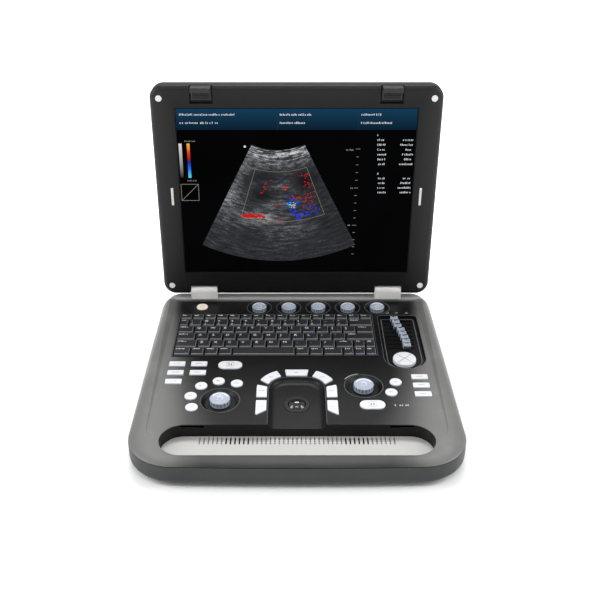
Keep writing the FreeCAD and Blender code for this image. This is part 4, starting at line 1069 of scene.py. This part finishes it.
def knob_flute_shade():
    """Painted shade: dark slate columns set in the flutes round each knob."""
    dark = moulded("flute_painted_shade", (0.085, 0.095, 0.12), 0.45, depth=0.01 * MM)
    flutes = {"gain_knob": 18, "select_knob": 18}
    flutes.update({name: 24 for name in MENU_KNOBS})
    for name, count in flutes.items():
        radius = knob_radius(name)
        plates = Plates(top_plane(name), low=-4.6 * MM, high=-1.0 * MM)
        for index in range(count):
            angle = 2 * math.pi * index / count
            plates.disc(radius * math.cos(angle), radius * math.sin(angle), 0.42 * MM, sides=8)
        plates.piece(name + "_flute_shade", name, "knob_blue", dark)


def slider_shadow_lines():
    """A painted shadow line: a dark strip along the foot of each slider's front face."""
    dark = moulded("slider_painted_shadow", (0.05, 0.058, 0.075), 0.5, depth=0.01 * MM)
    for index in range(1, 9):
        name = f"tgc_slider_{index}"
        plates = Plates(top_plane(name), low=-5.5 * MM, high=-1.5 * MM)
        plates.bar(0, -3.85 * MM, 9.4 * MM, 0.5 * MM)
        plates.piece(name + "_foot", name, "knob_blue", dark)


TRAY_SLOTS, TRAY_PITCH = 45, 5.0 * MM
SLOT_MIDDLE, SLOT_DEPTH = 8.3 * MM, 0.9 * MM       # back from the tray's edge, and down to the spots
SPEAKER_U, SPEAKER_HALF = 67.5 * MM, 15 * MM       # the slots there are open
SPOT_L, SPOT_W, SPOT_PITCH = 2.8 * MM, 1.5 * MM, 4.3 * MM


def tray_slot_floors():
    """Three dark mesh spots on the floor of each of the tray's shallow slots."""
    _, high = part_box("tray_plate")
    origin = Vector((0, high.y - SLOT_MIDDLE, high.z - SLOT_DEPTH))
    face = Plane(origin, X_AXIS, Vector((0, 1, 0)), Vector((0, 0, 1)))
    plates = Plates(face, low=-0.15 * MM, high=0.1 * MM)
    for index in range(TRAY_SLOTS):
        u = (index - (TRAY_SLOTS - 1) / 2) * TRAY_PITCH
        if abs(abs(u) - SPEAKER_U) > SPEAKER_HALF:
            for v in (-SPOT_PITCH, 0, SPOT_PITCH):
                plates.bar(u, v, SPOT_W, SPOT_L)
    grey = moulded("slot_grey", (0.15, 0.148, 0.142), 0.6, depth=0.01 * MM)
    plates.piece("tray_slot_floors", "base", "tray_silver", grey)


# ---------------------------------------------------------------- edges that catch the light
def soften(node, width):
    """Round a node's edges a little, by modifiers alone."""
    weld = NODES[node].modifiers.new("weld", "WELD")
    weld.merge_threshold = 0.004 * MM
    bevel = NODES[node].modifiers.new("edges", "BEVEL")
    bevel.width = width
    bevel.segments = 2
    bevel.limit_method = "ANGLE"
    bevel.angle_limit = math.radians(28)


def soft_edges():
    soften("keycaps", 0.28 * MM)
    soften("hinge_knuckles", 0.5 * MM)
    soften("latch_left", 0.25 * MM)
    soften("latch_right", 0.25 * MM)


# ---------------------------------------------------------------- floor, light and camera
def floor():
    """A white ground that glows softly further out, so only the object's own shadow shows."""
    side = 7.0
    mesh = bpy.data.meshes.new("floor")
    corners = [(-side, -side, 0), (side, -side, 0), (side, side, 0), (-side, side, 0)]
    mesh.from_pydata(corners, [], [(0, 1, 2, 3)])
    ground = bpy.data.objects.new("floor", mesh)
    bpy.context.scene.collection.objects.link(ground)
    shader = Shader("floor_white")
    tint = shader.ramp(shader.noise(3.0), (0.3, (0.93, 0.93, 0.93)), (0.7, (0.95, 0.95, 0.95)))
    squares = [shader.product(shader.axis(name), shader.axis(name)) for name in "XY"]
    reach = shader.math("SQRT", shader.math("ADD", *squares))
    glow = shader.span(reach, 0.22, 0.50, 0.0, 0.7, smooth=True)
    shader.set(Base_Color=tint, Roughness=0.8, Specular_IOR_Level=0.1)
    shader.set(Emission_Color=tint, Emission_Strength=glow)
    mesh.materials.append(shader.material)


def world():
    sky = bpy.data.worlds.new("studio")
    bpy.context.scene.world = sky
    sky.use_nodes = True
    background = sky.node_tree.nodes["Background"]
    background.inputs["Color"].default_value = (0.98, 0.99, 1.0, 1)
    background.inputs["Strength"].default_value = 0.60


def softbox(name, place, target, size, power):
    lamp = bpy.data.lights.new(name, "AREA")
    lamp.shape = "RECTANGLE"
    lamp.size, lamp.size_y = size
    lamp.energy = power
    holder = bpy.data.objects.new(name, lamp)
    bpy.context.scene.collection.objects.link(holder)
    holder.location = place
    aim = Vector(target) - Vector(place)
    holder.rotation_euler = aim.to_track_quat("-Z", "Y").to_euler()


def lights():
    middle = (cad_box[0] + cad_box[1]) / 2
    softbox("key", (0.0, -0.75, 1.45), middle, (0.9, 0.35), 6.0)
    softbox("left", (-1.5, -0.3, 1.0), middle, (0.7, 1.0), 14.0)
    softbox("right", (1.5, -0.3, 1.0), middle, (0.7, 1.0), 14.0)
    softbox("back", (0.0, 1.0, 2.0), middle, (1.4, 0.6), 30.0)


def camera():
    """Seen from the operator's side, looking down on the panel."""
    eye = bpy.data.cameras.new("camera")
    eye.lens = 50.88
    eye.sensor_width = 36.0
    eye.shift_x = 0.0137
    holder = bpy.data.objects.new("camera", eye)
    bpy.context.scene.collection.objects.link(holder)
    holder.location = (-0.006, -0.891, 0.6144)
    holder.rotation_euler = (math.radians(61.7), 0, 0)
    bpy.context.scene.camera = holder


# ---------------------------------------------------------------- build
def finish_nodes():
    """Give every CAD node the finish of its slot."""
    for part in frame["record"]["subparts"]:
        node = NODES[part["node"]]
        node.data.materials.clear()
        node.data.materials.append(FINISHES[part["material_slot"]])


finish_nodes()
screen_background()
screen_header()
screen_print()
colour_scales()
scan_sector()
flow_box()
flow_specks()
depth_scale()
key_legends()
knob_marks()
button_marks()
keypad_marks()
panel_prints()
dish_rings()
recess_frame_highlight()
dish_edge_highlight()
pad_cross()
knob_flute_shade()
slider_shadow_lines()
tray_slot_floors()
soft_edges()
floor()
world()
lights()
camera()
bpy.context.scene.view_settings.view_transform = "Standard"
